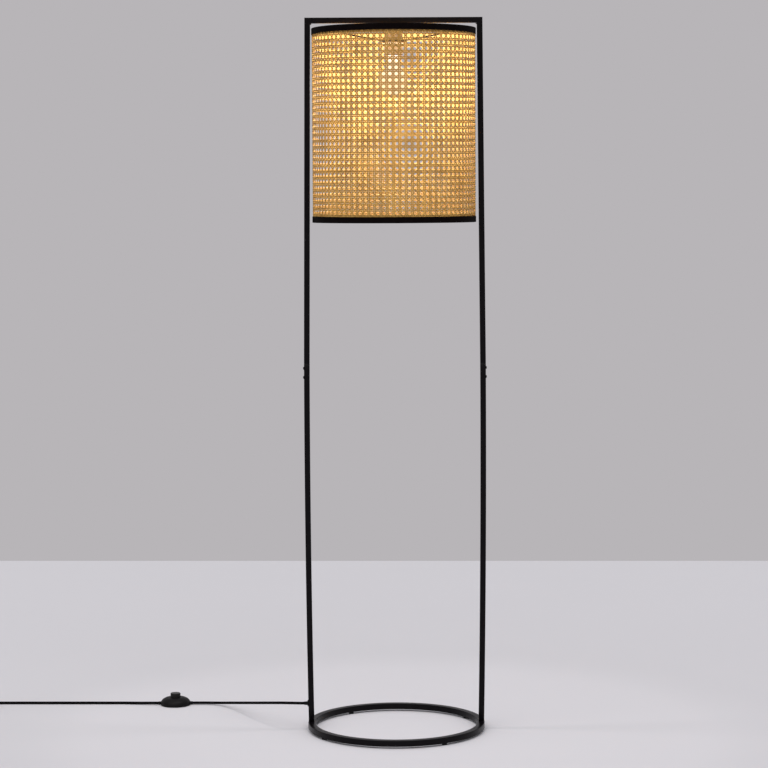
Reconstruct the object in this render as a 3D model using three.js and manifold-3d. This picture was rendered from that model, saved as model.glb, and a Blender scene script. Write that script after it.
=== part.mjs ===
// Floor lamp: a portal of black square tube stands on a ring foot and carries a
// drum shade of woven cane under its top bar. A pedal switch lies on the lead.
// Millimetres, +Z up, front towards -Y, origin on the floor at the centre of the ring foot.
import * as THREE from 'three';
import { mergeVertices } from 'three/addons/utils/BufferGeometryUtils.js';
import Module from 'manifold-3d';

// General clearances
const fitGap = 0.3;
const cutOverrun = 2;

// Portal frame
const lampHeight = 1533.5;
const frameBulge = 6.6;
const frameBulgeHeight = 640;
const tubeWidth = 12;
const tubeWall = 1;
const jointHeight = 797;

// Ring foot and its pads
const ringRadius = 191.5;
const ringTubeWidth = 15;
const ringTubeHeight = 12.6;
const ringWall = 1.5;
const ventRadius = 2;
const postInset = 1;
const padHeight = 4.4;
const padRadius = 5.5;
const firstPadAngle = THREE.MathUtils.degToRad(33);

// Spigots and screws of the mid joint
const spigotWall = 1.5;
const spigotBelow = 42;
const spigotAbove = 30;
const jointScrewDrop = 10;
const jointScrewSpacing = 19.5;
const jointScrewRadius = 1.7;
const jointScrewHeadRadius = 3.4;
const jointScrewHeadHeight = 2;

// Shade
const shadeRadius = 175;
const shadePostGap = 2;
const shadeDrop = 11.2;
const shadeHeight = 411;
const caneThickness = 2;
const openingColumns = 24;
const openingRows = 7;
const openingWidth = 20;
const openingBar = 20;
const trimThickness = 0.6;
const trimWidth = 13;
const trimReturn = 4.5;
const shadeWireRadius = 2;

// Spider that carries the shade on the lampholder
const hubThickness = 1.5;
const hubRadius = 26;
const spokeWireRadius = 1.75;

// Lampholder and its hanging tube
const hangerRadius = 5;
const hangerBore = 3.5;
const hangerLength = 13.5;
const capDrop = 5.5;
const capNeckRadius = 9;
const capNeckHeight = 5;
const capHeight = 20;
const holderRadius = 19.5;
const holderWall = 2;
const holderHeight = 42.6;
const holderBore = 15.5;
const holderLedgeDepth = 13;
const flangeDepth = 8.5;
const flangeHeight = 3;
const flangeRadius = 22.5;
const insertHeight = 10;
const wireHoleRadius = 2;
const wireHoleOffset = 7;
const shellRadius = 14.3;
const shellWall = 0.6;
const shellLength = 26.5;
const contactStripWidth = 4;
const contactStripLength = 16;
const contactStripThickness = 0.6;
const shadeNutHeight = 10;
const shadeNutRimHeight = 4;
const shadeNutRimRadius = 24.5;

// Bulb
const bulbRadius = 30;
const bulbLength = 112;
const bulbNeckRadius = 12.2;
const bulbGlassWall = 1;
const bulbGlassTop = 95;
const bulbSteps = 3;
const bulbCapRadius = 13.2;
const bulbCapWall = 0.5;
const bulbCapLength = 22;
const bulbInsulatorHeight = 3;
const bulbContactRadius = 4.8;
const bulbContactHeight = 1.8;
const stemRadius = 4;
const stemFlareRadius = 10.6;
const stemLength = 42;
const filamentWire = 0.6;
const filamentHalfSpan = 9;
const filamentDrop = 16;

// Lead: outer diameter and where it enters the left post
const cordRadius = 3.1;
const cordEntryHeight = 57.3;
const innerLeadRadius = 1.7;
const innerLeadBend = 5.5;
const innerLeadSides = 8;
const innerLeadCornerBend = 12;
const innerLeadReturn = 60;

// Gland on the left post
const glandFlangeRadius = 7.5;
const glandFlangeThickness = 1.6;
const glandNeckRadius = 4.2;
const glandLipRadius = 4.9;
const glandLipThickness = 0.8;
const reliefRootRadius = 4;
const reliefTipRadius = 3.45;
const reliefLength = 8;

// Pedal switch
const switchX = -502.2;
const switchY = 255.5;
const switchCordHeight = 4.5;
const switchRadius = 34;
const switchHeight = 18.6;
const switchSkirtBottom = 1;
const switchSkirtTop = 4;
const switchCrownRadius = 12.5;
const switchWall = 2;
const switchPadHeight = 0.8;
const switchPadRadius = 20;
const switchBaseThickness = 2;
const buttonRadius = 11.3;
const buttonTop = 28;
const buttonWall = 1.6;
const buttonFlangeWidth = 2;
const buttonFlangeThickness = 1.5;
const buttonCrown = 1;
const buttonTravel = 3;
const plungerRadius = 2.2;
const plungerClearance = 0.7;
const mechanismLength = 24;
const mechanismWidth = 16;
const mechanismTop = 9.5;
const terminalLength = 6;
const terminalWidth = 8;
const terminalHeight = 5;
const terminalGap = 0.5;
const springRadius = 5;
const springWire = 0.45;
const springCurls = 6;
const springSteps = 8;
const springSides = 5;
const bossRadius = 3;
const bossOffset = 23;
const switchScrewRadius = 1.2;
const switchScrewLength = 7;
const switchScrewHeadRadius = 2.4;
const switchScrewHeadHeight = 1.1;
const switchReliefInset = 5;
const switchReliefLength = 10;

// Coil of the unseen lead
const coilX = -953;
const coilOuterRadius = 42.5;
const coilTurnPitch = 6.9;
const coilLayerPitch = 6.7;
const coilTurns = 5;
const coilClimbTurns = 0.5;
const coilStepsPerTurn = 24;
const coilSides = 6;
const tieWidth = 6;
const tieThickness = 0.6;
const tieClearance = 0.8;

// Plug
const plugAxisHeight = 6.85;
const plugReliefLength = 24;
const plugReliefRootRadius = 5.2;
const plugReliefTaperShare = 0.75;
const plugGripLength = 17;
const plugFaceLength = 18;
const plugGripWidth = 20;
const plugFaceWidth = 35;
const plugThickness = 13.7;
const plugPinRadius = 2;
const plugPinLength = 19;
const plugPinSpacing = 19;
const plugTailLength = 36;
const plugTailShares = [[0.25, 1], [0.5, 1], [0.75, 0.3], [0.9, 0], [1, 0]];

// Routes of the free lead, laid by hand. The first falls from the gland to the switch,
// the second lies on the floor from the switch to the coil.
const routeToSwitch = [
  [-201.4, 0, 57.3], [-211.3, 0.4, 57.3], [-223.7, 2.7, 57.1], [-238.3, 9.9, 55.9], [-253, 22.2, 53.5],
  [-267.7, 39.2, 49.9], [-282.3, 60.1, 45.5], [-297, 83.9, 40.4], [-311.7, 109.6, 34.9],
  [-326.3, 136.1, 29.3], [-341, 162.5, 23.7], [-355.6, 187.7, 18.3], [-370.3, 210.3, 13.6],
  [-385, 229.3, 9.5], [-399.6, 243.2, 6.6], [-414.3, 251.4, 5], [-431.2, 255, 4.5],
  [-445.9, 255.5, 4.5], [-462.9, 255.5, 4.5],
];
const routeToCoil = [
  [-541.5, 255.5, 4.5], [-552, 255.7, 4.5], [-566, 256.9, 4.3], [-582, 259.2, 3.9], [-600, 262, 3.5],
  [-620, 264, 3.3], [-640, 264.8, 3.2], [-665, 265.4, 3.2], [-700, 266.3, 3.2], [-735, 267.1, 3.2],
  [-770, 268, 3.2], [-805, 268.8, 3.2], [-840, 269.7, 3.2], [-875, 270.5, 3.2], [-900, 271.1, 3.2],
  [-920, 271.4, 3.5], [-933, 271.5, 4], [-946.5, 271.5, 4],
];
const cordSides = 8;
const cordStepDiameters = 2.5;

// Facet counts
const largeFacets = 48;
const smallFacets = 18;
const wireFacets = 6;
const arcFacets = 8;
const domeFacets = 5;
const postSteps = 10;
const spokeCount = 3;
const padCount = 4;

// Colours and finishes
const blackPaint = { color: 0x17140f, roughness: 0.35, metalness: 0.3 };
const blackPlastic = { color: 0x1c1a1b, roughness: 0.45, metalness: 0 };
const ivoryPlastic = { color: 0xe2dccf, roughness: 0.45, metalness: 0 };
const blackRubber = { color: 0x151415, roughness: 0.85, metalness: 0 };
const bareSteel = { color: 0xa8a9ac, roughness: 0.35, metalness: 1 };
const brass = { color: 0xb58b45, roughness: 0.35, metalness: 1 };
const cane = { color: 0xc8964f, roughness: 0.6, metalness: 0 };
const blackTape = { color: 0x15110e, roughness: 0.8, metalness: 0 };
const whiteCeramic = { color: 0xe6e2d8, roughness: 0.4, metalness: 0 };
const opalGlass = { color: 0xfff4dc, roughness: 0.2, metalness: 0 };

const wasm = await Module();
wasm.setup();

// Shared vertices merged, flat slivers dropped and faces turned outwards
function closedBody(geometry) {
  const bare = geometry.index ? geometry.toNonIndexed() : geometry.clone();
  bare.deleteAttribute('normal');
  bare.deleteAttribute('uv');
  const merged = mergeVertices(bare);
  const place = merged.attributes.position;
  const corners = merged.index.array;
  const kept = [];
  const a = new THREE.Vector3();
  const b = new THREE.Vector3();
  const c = new THREE.Vector3();
  let volume = 0;
  for (let i = 0; i < corners.length; i += 3) {
    const [ia, ib, ic] = [corners[i], corners[i + 1], corners[i + 2]];
    if (ia === ib || ib === ic || ic === ia) continue;
    kept.push(ia, ib, ic);
    a.fromBufferAttribute(place, ia);
    b.fromBufferAttribute(place, ib);
    c.fromBufferAttribute(place, ic);
    volume += a.dot(b.cross(c));
  }
  if (volume < 0) kept.reverse();
  merged.setIndex(kept);
  return merged;
}

function toManifold(geometry) {
  const body = closedBody(geometry);
  const vertProperties = new Float32Array(body.attributes.position.array);
  const triVerts = new Uint32Array(body.index.array);
  return new wasm.Manifold(new wasm.Mesh({ numProp: 3, vertProperties, triVerts }));
}

function toGeometry(manifold) {
  const { vertProperties, triVerts } = manifold.getMesh();
  const geometry = new THREE.BufferGeometry();
  geometry.setAttribute('position', new THREE.BufferAttribute(vertProperties, 3));
  geometry.setIndex(new THREE.BufferAttribute(triVerts, 1));
  return geometry;
}

function cut(geometry, ...tools) {
  let body = toManifold(geometry);
  for (const tool of tools) body = body.subtract(toManifold(tool));
  return toGeometry(body);
}

function join(geometry, ...others) {
  let body = toManifold(geometry);
  for (const other of others) body = body.add(toManifold(other));
  return toGeometry(body);
}

function common(geometry, other) {
  return toGeometry(toManifold(geometry).intersect(toManifold(other)));
}

// An outline in X and Z, given a thickness along Y and centred on the XZ plane
function slab(points, thickness) {
  const shape = new THREE.Shape(points.map(([x, z]) => new THREE.Vector2(x, z)));
  const geometry = new THREE.ExtrudeGeometry(shape, { depth: thickness, bevelEnabled: false });
  return geometry.rotateX(Math.PI / 2).translate(0, thickness / 2, 0);
}

function block(xLow, xHigh, yLow, yHigh, zLow, zHigh) {
  const geometry = new THREE.BoxGeometry(xHigh - xLow, yHigh - yLow, zHigh - zLow);
  return geometry.translate((xLow + xHigh) / 2, (yLow + yHigh) / 2, (zLow + zHigh) / 2);
}

// A profile of radius and height turned about Z
function turned(profile, facets) {
  const points = profile.map(([r, z]) => new THREE.Vector2(r, z));
  return new THREE.LatheGeometry(points, facets).rotateX(Math.PI / 2);
}

// A ring of rectangular section about Z
function ring(inner, outer, zLow, zHigh, facets) {
  return turned([[inner, zLow], [outer, zLow], [outer, zHigh], [inner, zHigh], [inner, zLow]], facets);
}

function disc(radius, zLow, zHigh, facets) {
  return turned([[0, zLow], [radius, zLow], [radius, zHigh], [0, zHigh]], facets);
}

// A curve whose even steps fall exactly on its own points
class PointedCurve extends THREE.CatmullRomCurve3 {
  getUtoTmapping(u) {
    return u;
  }
}

// A round section along a curve, with closed flat ends
function tubeAlong(curve, radius, sides, steps) {
  const section = Array.from({ length: sides }, (_, k) => {
    const angle = (2 * Math.PI * k) / sides;
    return new THREE.Vector2(radius * Math.cos(angle), radius * Math.sin(angle));
  });
  const options = { extrudePath: curve, steps, bevelEnabled: false };
  return new THREE.ExtrudeGeometry(new THREE.Shape(section), options);
}

function tubeOnPoints(points, radius, sides) {
  return tubeAlong(new PointedCurve(points, false, 'centripetal'), radius, sides, points.length - 1);
}

function curveThrough(points) {
  return new THREE.CatmullRomCurve3(points.map((p) => new THREE.Vector3(...p)), false, 'centripetal');
}

// Straight runs with round bends between them, as points for a tube of uneven steps
function bentRoute(points, bends) {
  const route = [new THREE.Vector3(...points[0])];
  for (let i = 1; i < points.length - 1; i++) {
    const corner = new THREE.Vector3(...points[i]);
    const back = new THREE.Vector3(...points[i - 1]).sub(corner).normalize();
    const ahead = new THREE.Vector3(...points[i + 1]).sub(corner).normalize();
    const halfAngle = back.angleTo(ahead) / 2;
    const reach = bends[i - 1] / Math.tan(halfAngle);
    const start = corner.clone().addScaledVector(back, reach);
    const toCentre = back.clone().add(ahead).normalize();
    const centre = corner.clone().addScaledVector(toCentre, bends[i - 1] / Math.sin(halfAngle));
    const axis = new THREE.Vector3().crossVectors(ahead, back).normalize();
    const sweep = Math.PI - 2 * halfAngle;
    for (let k = 0; k <= arcFacets; k++) {
      const spoke = start.clone().sub(centre).applyAxisAngle(axis, (sweep * k) / arcFacets);
      route.push(centre.clone().add(spoke));
    }
  }
  route.push(new THREE.Vector3(...points[points.length - 1]));
  return route;
}

const lamp = new THREE.Group();

function add(name, geometry, finish, x = 0, y = 0, z = 0) {
  const mesh = new THREE.Mesh(closedBody(geometry), new THREE.MeshStandardMaterial(finish));
  mesh.name = name;
  mesh.position.set(x, y, z);
  lamp.add(mesh);
}

// Centre line of a post: a shallow bow up to the mid joint, then straight to the top bar
const ringTop = padHeight + ringTubeHeight;
const barBottom = lampHeight - tubeWidth;
const footHalf = ringRadius - postInset - tubeWidth / 2;
const frameTopHalf = shadeRadius + shadePostGap + tubeWidth;
const topHalf = frameTopHalf - tubeWidth / 2;
const bulgeHalf = topHalf + frameBulge;

function bowedLine(z) {
  const fall = (z - frameBulgeHeight) / (ringTop - frameBulgeHeight);
  return bulgeHalf - (bulgeHalf - footHalf) * fall * fall;
}

function postLine(z) {
  if (z <= jointHeight) return bowedLine(z);
  const rise = (z - jointHeight) / (lampHeight - jointHeight);
  return THREE.MathUtils.lerp(bowedLine(jointHeight), topHalf, rise);
}

// Outline of a tube that follows the post line between heights
function postOutline(side, heights, halfWidth) {
  const outer = heights.map((z) => [side * (postLine(z) + halfWidth), z]);
  const inner = heights.map((z) => [side * (postLine(z) - halfWidth), z]);
  return [...outer, ...inner.reverse()];
}

function evenHeights(low, high, steps) {
  return Array.from({ length: steps + 1 }, (_, k) => low + ((high - low) * k) / steps);
}

// Frame: the top bar and the upper posts are mitred and welded, the bowed lower
// posts stand on the ring foot, and a spigot screwed at each side joins the halves
const boreHalf = tubeWidth / 2 - tubeWall;
const mitreInner = postLine(barBottom) - tubeWidth / 2;
const mitreOuter = frameTopHalf;

function topBar() {
  const outline = [[-mitreOuter, lampHeight], [-mitreInner, barBottom], [mitreInner, barBottom],
    [mitreOuter, lampHeight]];
  const reach = mitreOuter + cutOverrun;
  const bore = block(-reach, reach, -boreHalf, boreHalf, barBottom + tubeWall, lampHeight - tubeWall);
  const leadHole = disc(hangerBore, barBottom - cutOverrun, barBottom + tubeWall + cutOverrun, smallFacets);
  return cut(slab(outline, tubeWidth), bore, leadHole);
}

function upperPost(side) {
  const half = tubeWidth / 2;
  const outline = [[side * (postLine(jointHeight) + half), jointHeight], [side * mitreOuter, lampHeight],
    [side * mitreInner, barBottom], [side * (postLine(jointHeight) - half), jointHeight]];
  const boreHeights = [jointHeight - cutOverrun, lampHeight + cutOverrun];
  const bore = slab(postOutline(side, boreHeights, boreHalf), 2 * boreHalf);
  return cut(slab(outline, tubeWidth), bore);
}

const jointScrewHeights = [jointHeight - jointScrewDrop, jointHeight - jointScrewDrop - jointScrewSpacing];

// A round cutter or shank along X, from one distance off the lamp's middle to another
function crossRod(radius, side, from, to, y, z) {
  const rod = disc(radius, from, to, smallFacets).rotateY((side * Math.PI) / 2);
  return rod.translate(0, y, z);
}

function lowerPost(side) {
  const heights = evenHeights(ringTop, jointHeight, postSteps);
  const boreHeights = [ringTop - cutOverrun, ...heights.slice(1, -1), jointHeight + cutOverrun];
  const bore = slab(postOutline(side, boreHeights, boreHalf), 2 * boreHalf);
  const holes = jointScrewHeights.map((z) => {
    const outerFace = postLine(z) + tubeWidth / 2;
    const low = outerFace - tubeWall - cutOverrun / 2;
    return crossRod(jointScrewRadius + fitGap, side, low, outerFace + cutOverrun, 0, z);
  });
  if (side < 0) {
    const outerFace = postLine(cordEntryHeight) + tubeWidth / 2;
    const low = outerFace - tubeWall - cutOverrun;
    holes.push(crossRod(glandNeckRadius + fitGap, side, low, outerFace + cutOverrun, 0, cordEntryHeight));
  }
  return cut(slab(postOutline(side, heights, tubeWidth / 2), tubeWidth), bore, ...holes);
}

function spigot(side) {
  const half = boreHalf - fitGap;
  const heights = [jointHeight - spigotBelow, jointHeight, jointHeight + spigotAbove];
  const boreHeights = [heights[0] - cutOverrun, jointHeight, heights[2] + cutOverrun];
  const body = slab(postOutline(side, heights, half), 2 * half);
  const bore = slab(postOutline(side, boreHeights, half - spigotWall), 2 * (half - spigotWall));
  const holes = jointScrewHeights.map((z) => {
    const outerFace = postLine(z) + half;
    const low = outerFace - spigotWall - cutOverrun / 2;
    return crossRod(jointScrewRadius + fitGap, side, low, outerFace + cutOverrun, 0, z);
  });
  return cut(body, bore, ...holes);
}

function jointScrew(side, z) {
  const seat = postLine(z) + tubeWidth / 2 + fitGap;
  const tip = postLine(z) + boreHalf - fitGap - spigotWall;
  const crown = jointScrewHeadRadius / 2;
  const profile = [[0, tip], [jointScrewRadius, tip], [jointScrewRadius, seat], [jointScrewHeadRadius, seat],
    [jointScrewHeadRadius, seat + jointScrewHeadHeight / 2], [crown, seat + jointScrewHeadHeight],
    [0, seat + jointScrewHeadHeight]];
  return turned(profile, smallFacets / 2).rotateY((side * Math.PI) / 2).translate(0, 0, z);
}

function baseRing() {
  const inner = ringRadius - ringTubeWidth;
  const body = ring(inner, ringRadius, padHeight, ringTop, largeFacets);
  const hollow = ring(inner + ringWall, ringRadius - ringWall, padHeight + ringWall, ringTop - ringWall,
    largeFacets);
  const ventPlace = ringRadius - ringTubeWidth / 2;
  const vents = [-1, 1].map((end) => {
    const hole = disc(ventRadius, padHeight - cutOverrun, padHeight + 2 * ringWall, smallFacets);
    return hole.translate(0, end * ventPlace, 0);
  });
  return cut(body, hollow, ...vents);
}

add('top_bar', topBar(), blackPaint);
for (const [side, name] of [[-1, 'left'], [1, 'right']]) {
  add(`upper_post_${name}`, upperPost(side), blackPaint);
  add(`spigot_${name}`, spigot(side), bareSteel);
  add(`lower_post_${name}`, lowerPost(side), blackPaint);
  add(`joint_screw_${name}_top`, jointScrew(side, jointScrewHeights[0]), blackPaint);
  add(`joint_screw_${name}_bottom`, jointScrew(side, jointScrewHeights[1]), blackPaint);
}
add('base_ring', baseRing(), blackPaint);
for (let k = 0; k < padCount; k++) {
  const angle = firstPadAngle + (2 * Math.PI * k) / padCount;
  const reach = ringRadius - ringTubeWidth / 2;
  const pad = disc(padRadius, 0, padHeight, smallFacets);
  add(`foot_pad_${k + 1}`, pad, blackRubber, reach * Math.cos(angle), reach * Math.sin(angle));
}

// Shade: the cane wall is held between a top and a bottom wire ring, and a black
// tape is folded over each edge
const shadeTop = barBottom - shadeDrop;
const shadeBottom = shadeTop - shadeHeight;
const caneOuter = shadeRadius - trimThickness - fitGap;
const caneInner = caneOuter - caneThickness;
const wirePath = caneInner - fitGap - shadeWireRadius;
const trimInner = wirePath - shadeWireRadius - fitGap - trimThickness;
const wireInset = trimThickness + fitGap + shadeWireRadius;

// The wall between the tapes is a plain grid of openings, which stands for the open weave
function shadeWall() {
  const low = shadeBottom + trimThickness + fitGap;
  const wall = ring(caneInner, caneOuter, low, shadeTop - trimThickness - fitGap, largeFacets);
  const firstBar = shadeBottom + trimWidth;
  const rowPitch = (shadeHeight - 2 * trimWidth - openingBar) / openingRows;
  const cutters = [];
  for (let column = 0; column < openingColumns; column++) {
    const angle = (2 * Math.PI * column) / openingColumns + Math.PI / largeFacets;
    for (let row = 0; row < openingRows; row++) {
      const sill = firstBar + openingBar + row * rowPitch;
      const cutter = block(caneInner - cutOverrun, caneOuter + cutOverrun, -openingWidth / 2,
        openingWidth / 2, sill, sill + rowPitch - openingBar);
      cutters.push(cutter.rotateZ(angle));
    }
  }
  return cut(wall, ...cutters);
}

// Tape folded over an edge: a broad leg outside, a narrow one inside
function edgeTape(edge, inwards) {
  const web = edge + inwards * trimThickness;
  const profile = [[trimInner, edge], [shadeRadius, edge], [shadeRadius, edge + inwards * trimWidth],
    [shadeRadius - trimThickness, edge + inwards * trimWidth], [shadeRadius - trimThickness, web],
    [trimInner + trimThickness, web], [trimInner + trimThickness, edge + inwards * trimReturn],
    [trimInner, edge + inwards * trimReturn], [trimInner, edge]];
  return turned(profile, largeFacets);
}

function wireRing(height) {
  const torus = new THREE.TorusGeometry(wirePath, shadeWireRadius, wireFacets, largeFacets);
  return torus.translate(0, 0, height);
}

// Lampholder stack, from the underside of the top bar downwards
const capTop = barBottom - capDrop;
const capBottom = capTop - capHeight;
const holderTop = capBottom - fitGap;
const holderBottom = holderTop - holderHeight;
const flangeBottom = holderTop - flangeDepth - flangeHeight;
const hubTop = flangeBottom - fitGap;
const hubInner = holderRadius + fitGap;
const shadeNutTop = hubTop - hubThickness - fitGap;
const ledge = holderTop - holderLedgeDepth;
const insertBottom = ledge + fitGap;
const insertRadius = holderRadius - holderWall - fitGap;
const shellTop = insertBottom - fitGap;
const stripTop = insertBottom - fitGap;
const bulbTip = stripTop - contactStripThickness - fitGap;

function hanger() {
  return ring(hangerBore, hangerRadius, barBottom - hangerLength, barBottom, smallFacets);
}

function holderCap() {
  const neckLow = capTop - capNeckHeight;
  const shoulder = (neckLow + capBottom) / 2;
  const bore = hangerRadius + fitGap;
  const roof = capTop - capNeckHeight - holderWall;
  const profile = [[bore, capTop], [capNeckRadius, capTop], [capNeckRadius, neckLow],
    [(capNeckRadius + holderRadius) / 2, neckLow - holderWall / 2], [holderRadius, shoulder],
    [holderRadius, capBottom], [holderRadius - holderWall, capBottom], [holderRadius - holderWall, shoulder],
    [(capNeckRadius + holderRadius) / 2 - holderWall, roof - holderWall / 2], [bore, roof], [bore, capTop]];
  return turned(profile, smallFacets);
}

function holderBody() {
  const flangeTop = holderTop - flangeDepth;
  const profile = [[holderBore, holderBottom], [holderRadius, holderBottom], [holderRadius, flangeBottom],
    [flangeRadius, flangeBottom], [flangeRadius, flangeTop], [holderRadius, flangeTop],
    [holderRadius, holderTop], [holderRadius - holderWall, holderTop], [holderRadius - holderWall, ledge],
    [holderBore, ledge], [holderBore, holderBottom]];
  return turned(profile, smallFacets);
}

function holderInsert() {
  const body = disc(insertRadius, insertBottom, insertBottom + insertHeight, smallFacets);
  const low = insertBottom - cutOverrun;
  const high = insertBottom + insertHeight + cutOverrun;
  const holes = [-1, 1].map((side) => {
    return disc(wireHoleRadius, low, high, smallFacets).translate(side * wireHoleOffset, 0, 0);
  });
  return cut(body, ...holes);
}

function shadeNut() {
  const bore = holderRadius + fitGap;
  const rimLow = shadeNutTop - shadeNutRimHeight;
  const low = shadeNutTop - shadeNutHeight;
  const waist = (bore + shadeNutRimRadius) / 2;
  const profile = [[bore, low], [waist, low], [waist, rimLow], [shadeNutRimRadius, rimLow],
    [shadeNutRimRadius, shadeNutTop], [bore, shadeNutTop], [bore, low]];
  return turned(profile, smallFacets);
}

// Spoke from the edge of the hub up to the underside of the top wire ring
function spiderSpoke(angle) {
  const start = hubRadius + fitGap;
  const end = wirePath;
  const low = hubTop - hubThickness / 2;
  const ringUnderside = shadeTop - wireInset - shadeWireRadius;
  const high = ringUnderside - spokeWireRadius - fitGap;
  const length = Math.hypot(end - start, high - low);
  const rod = disc(spokeWireRadius, 0, length, smallFacets / 2);
  rod.rotateY(Math.atan2(end - start, high - low)).translate(start, 0, low);
  return rod.rotateZ(angle);
}

add('shade_wall', shadeWall(), cane);
add('top_trim', edgeTape(shadeTop, -1), blackTape);
add('bottom_trim', edgeTape(shadeBottom, 1), blackTape);
add('top_wire_ring', wireRing(shadeTop - wireInset), blackPaint);
add('bottom_wire_ring', wireRing(shadeBottom + wireInset), blackPaint);
for (let k = 0; k < spokeCount; k++) {
  const angle = Math.PI / 2 + (2 * Math.PI * k) / spokeCount;
  add(`spider_spoke_${k + 1}`, spiderSpoke(angle), blackPaint);
}
add('spider_hub', ring(hubInner, hubRadius, hubTop - hubThickness, hubTop, smallFacets), blackPaint);
add('shade_nut', shadeNut(), ivoryPlastic);
add('hanger_tube', hanger(), bareSteel);
add('lampholder_cap', holderCap(), ivoryPlastic);
add('lampholder_body', holderBody(), ivoryPlastic);
add('lampholder_insert', holderInsert(), whiteCeramic);
add('screw_shell', ring(shellRadius - shellWall, shellRadius, shellTop - shellLength, shellTop, smallFacets),
  brass);
const stripHalf = contactStripLength / 2;
add('centre_contact', block(-stripHalf, stripHalf, -contactStripWidth / 2, contactStripWidth / 2,
  stripTop - contactStripThickness, stripTop), brass);

// Bulb: opal glass with an open neck, a screw cap with its end contact, and the
// glass mount with its glowing wire inside
const bulbBottom = bulbTip - bulbLength;
const bulbCentre = bulbBottom + bulbRadius;
const contactBottom = bulbTip - bulbContactHeight;
const insulatorBottom = contactBottom - bulbInsulatorHeight;
const bulbCapBottom = insulatorBottom - bulbCapLength;
const glassTop = bulbBottom + bulbGlassTop;

// Side line of the glass from its lowest point to its neck, drawn in by a wall
function glassLine(wall) {
  const radius = bulbRadius - wall;
  const neck = bulbNeckRadius - wall;
  const leave = Math.PI / 5;
  const path = new THREE.Path();
  path.absarc(0, bulbCentre, radius, -Math.PI / 2, leave, false);
  const startR = radius * Math.cos(leave);
  const startZ = bulbCentre + radius * Math.sin(leave);
  const handle = (bulbCapBottom - startZ) / 2;
  path.bezierCurveTo(startR - handle * Math.sin(leave), startZ + handle * Math.cos(leave), neck,
    bulbCapBottom - handle, neck, bulbCapBottom);
  path.lineTo(neck, glassTop);
  const line = path.getPoints(bulbSteps).map((p) => [p.x, p.y]);
  line[0][0] = 0;
  return line;
}

function bulbGlass() {
  const outer = glassLine(0);
  const inner = glassLine(bulbGlassWall);
  return turned([...outer, ...inner.reverse()], smallFacets);
}

function bulbCap() {
  const inner = bulbCapRadius - bulbCapWall;
  const mouth = bulbContactRadius + fitGap;
  const profile = [[inner, bulbCapBottom], [bulbCapRadius, bulbCapBottom], [bulbCapRadius, insulatorBottom],
    [mouth, contactBottom], [mouth, contactBottom - bulbCapWall], [inner, insulatorBottom - bulbCapWall],
    [inner, bulbCapBottom]];
  return turned(profile, smallFacets);
}

function bulbStem() {
  const top = glassTop - bulbGlassWall;
  const low = top - stemLength;
  const profile = [[0, low], [stemRadius, low], [stemRadius, low + stemLength / 2],
    [stemFlareRadius, top], [0, top]];
  return turned(profile, smallFacets);
}

function filament() {
  const stemLow = glassTop - bulbGlassWall - stemLength;
  const start = stemLow - fitGap - filamentWire;
  const kinks = 4;
  const points = [];
  for (let k = 0; k <= kinks; k++) {
    const x = filamentHalfSpan * ((2 * k) / kinks - 1);
    points.push(new THREE.Vector3(x, 0, k % 2 ? start : start - filamentDrop));
  }
  return tubeOnPoints(points, filamentWire, wireFacets);
}

add('bulb_glass', bulbGlass(), opalGlass);
add('bulb_screw_cap', bulbCap(), bareSteel);
add('bulb_contact', disc(bulbContactRadius, contactBottom - bulbCapWall, bulbTip, smallFacets), bareSteel);
add('bulb_stem', bulbStem(), opalGlass);
add('bulb_filament', filament(), brass);

// Lead inside the frame: in at the gland, up the left post, through the mitred
// corner, along the top bar and down the hanger tube to the insert
const glandFace = postLine(cordEntryHeight) + tubeWidth / 2;

function innerLead() {
  const start = -(glandFace - tubeWall - fitGap - glandLipThickness - fitGap);
  const riser = start + fitGap + innerLeadBend;
  const barAxis = barBottom + tubeWidth / 2;
  const settled = cordEntryHeight + innerLeadReturn;
  const bowed = evenHeights(settled, jointHeight, postSteps).map((z) => [-postLine(z), 0, z]);
  const lowerBend = bentRoute([[start, 0, cordEntryHeight], [riser, 0, cordEntryHeight],
    [riser, 0, cordEntryHeight + 2 * innerLeadBend]], [innerLeadBend]);
  const corner = postLine(barAxis);
  const leadEnd = insertBottom + insertHeight + fitGap;
  const upperBends = bentRoute([[-postLine(barAxis - 2 * innerLeadCornerBend), 0,
    barAxis - 2 * innerLeadCornerBend], [-corner, 0, barAxis], [0, 0, barAxis], [0, 0, leadEnd]],
    [innerLeadCornerBend, innerLeadBend]);
  const points = [...lowerBend, ...bowed.map((p) => new THREE.Vector3(...p)), ...upperBends];
  return tubeOnPoints(points, innerLeadRadius, innerLeadSides);
}

// A moulded collar that tapers away from the housing, turned about its cord
function tapered(rootRadius, tipRadius, from, to) {
  return [[rootRadius, from], [rootRadius, from + (to - from) / 4], [tipRadius, to], [0, to]];
}

function cordGland() {
  const inside = glandFace - tubeWall - fitGap;
  const flangeLow = glandFace + fitGap;
  const flangeHigh = flangeLow + glandFlangeThickness;
  const profile = [[0, inside - glandLipThickness], [glandLipRadius, inside - glandLipThickness],
    [glandLipRadius, inside], [glandNeckRadius, inside], [glandNeckRadius, flangeLow],
    [glandFlangeRadius, flangeLow], [glandFlangeRadius - glandFlangeThickness / 2, flangeHigh],
    ...tapered(reliefRootRadius, reliefTipRadius, flangeHigh, flangeHigh + reliefLength)];
  return turned(profile, smallFacets).rotateY(-Math.PI / 2).translate(0, 0, cordEntryHeight);
}

add('cord_gland', cordGland(), blackRubber);
add('inner_lead', innerLead(), blackPlastic);

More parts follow.
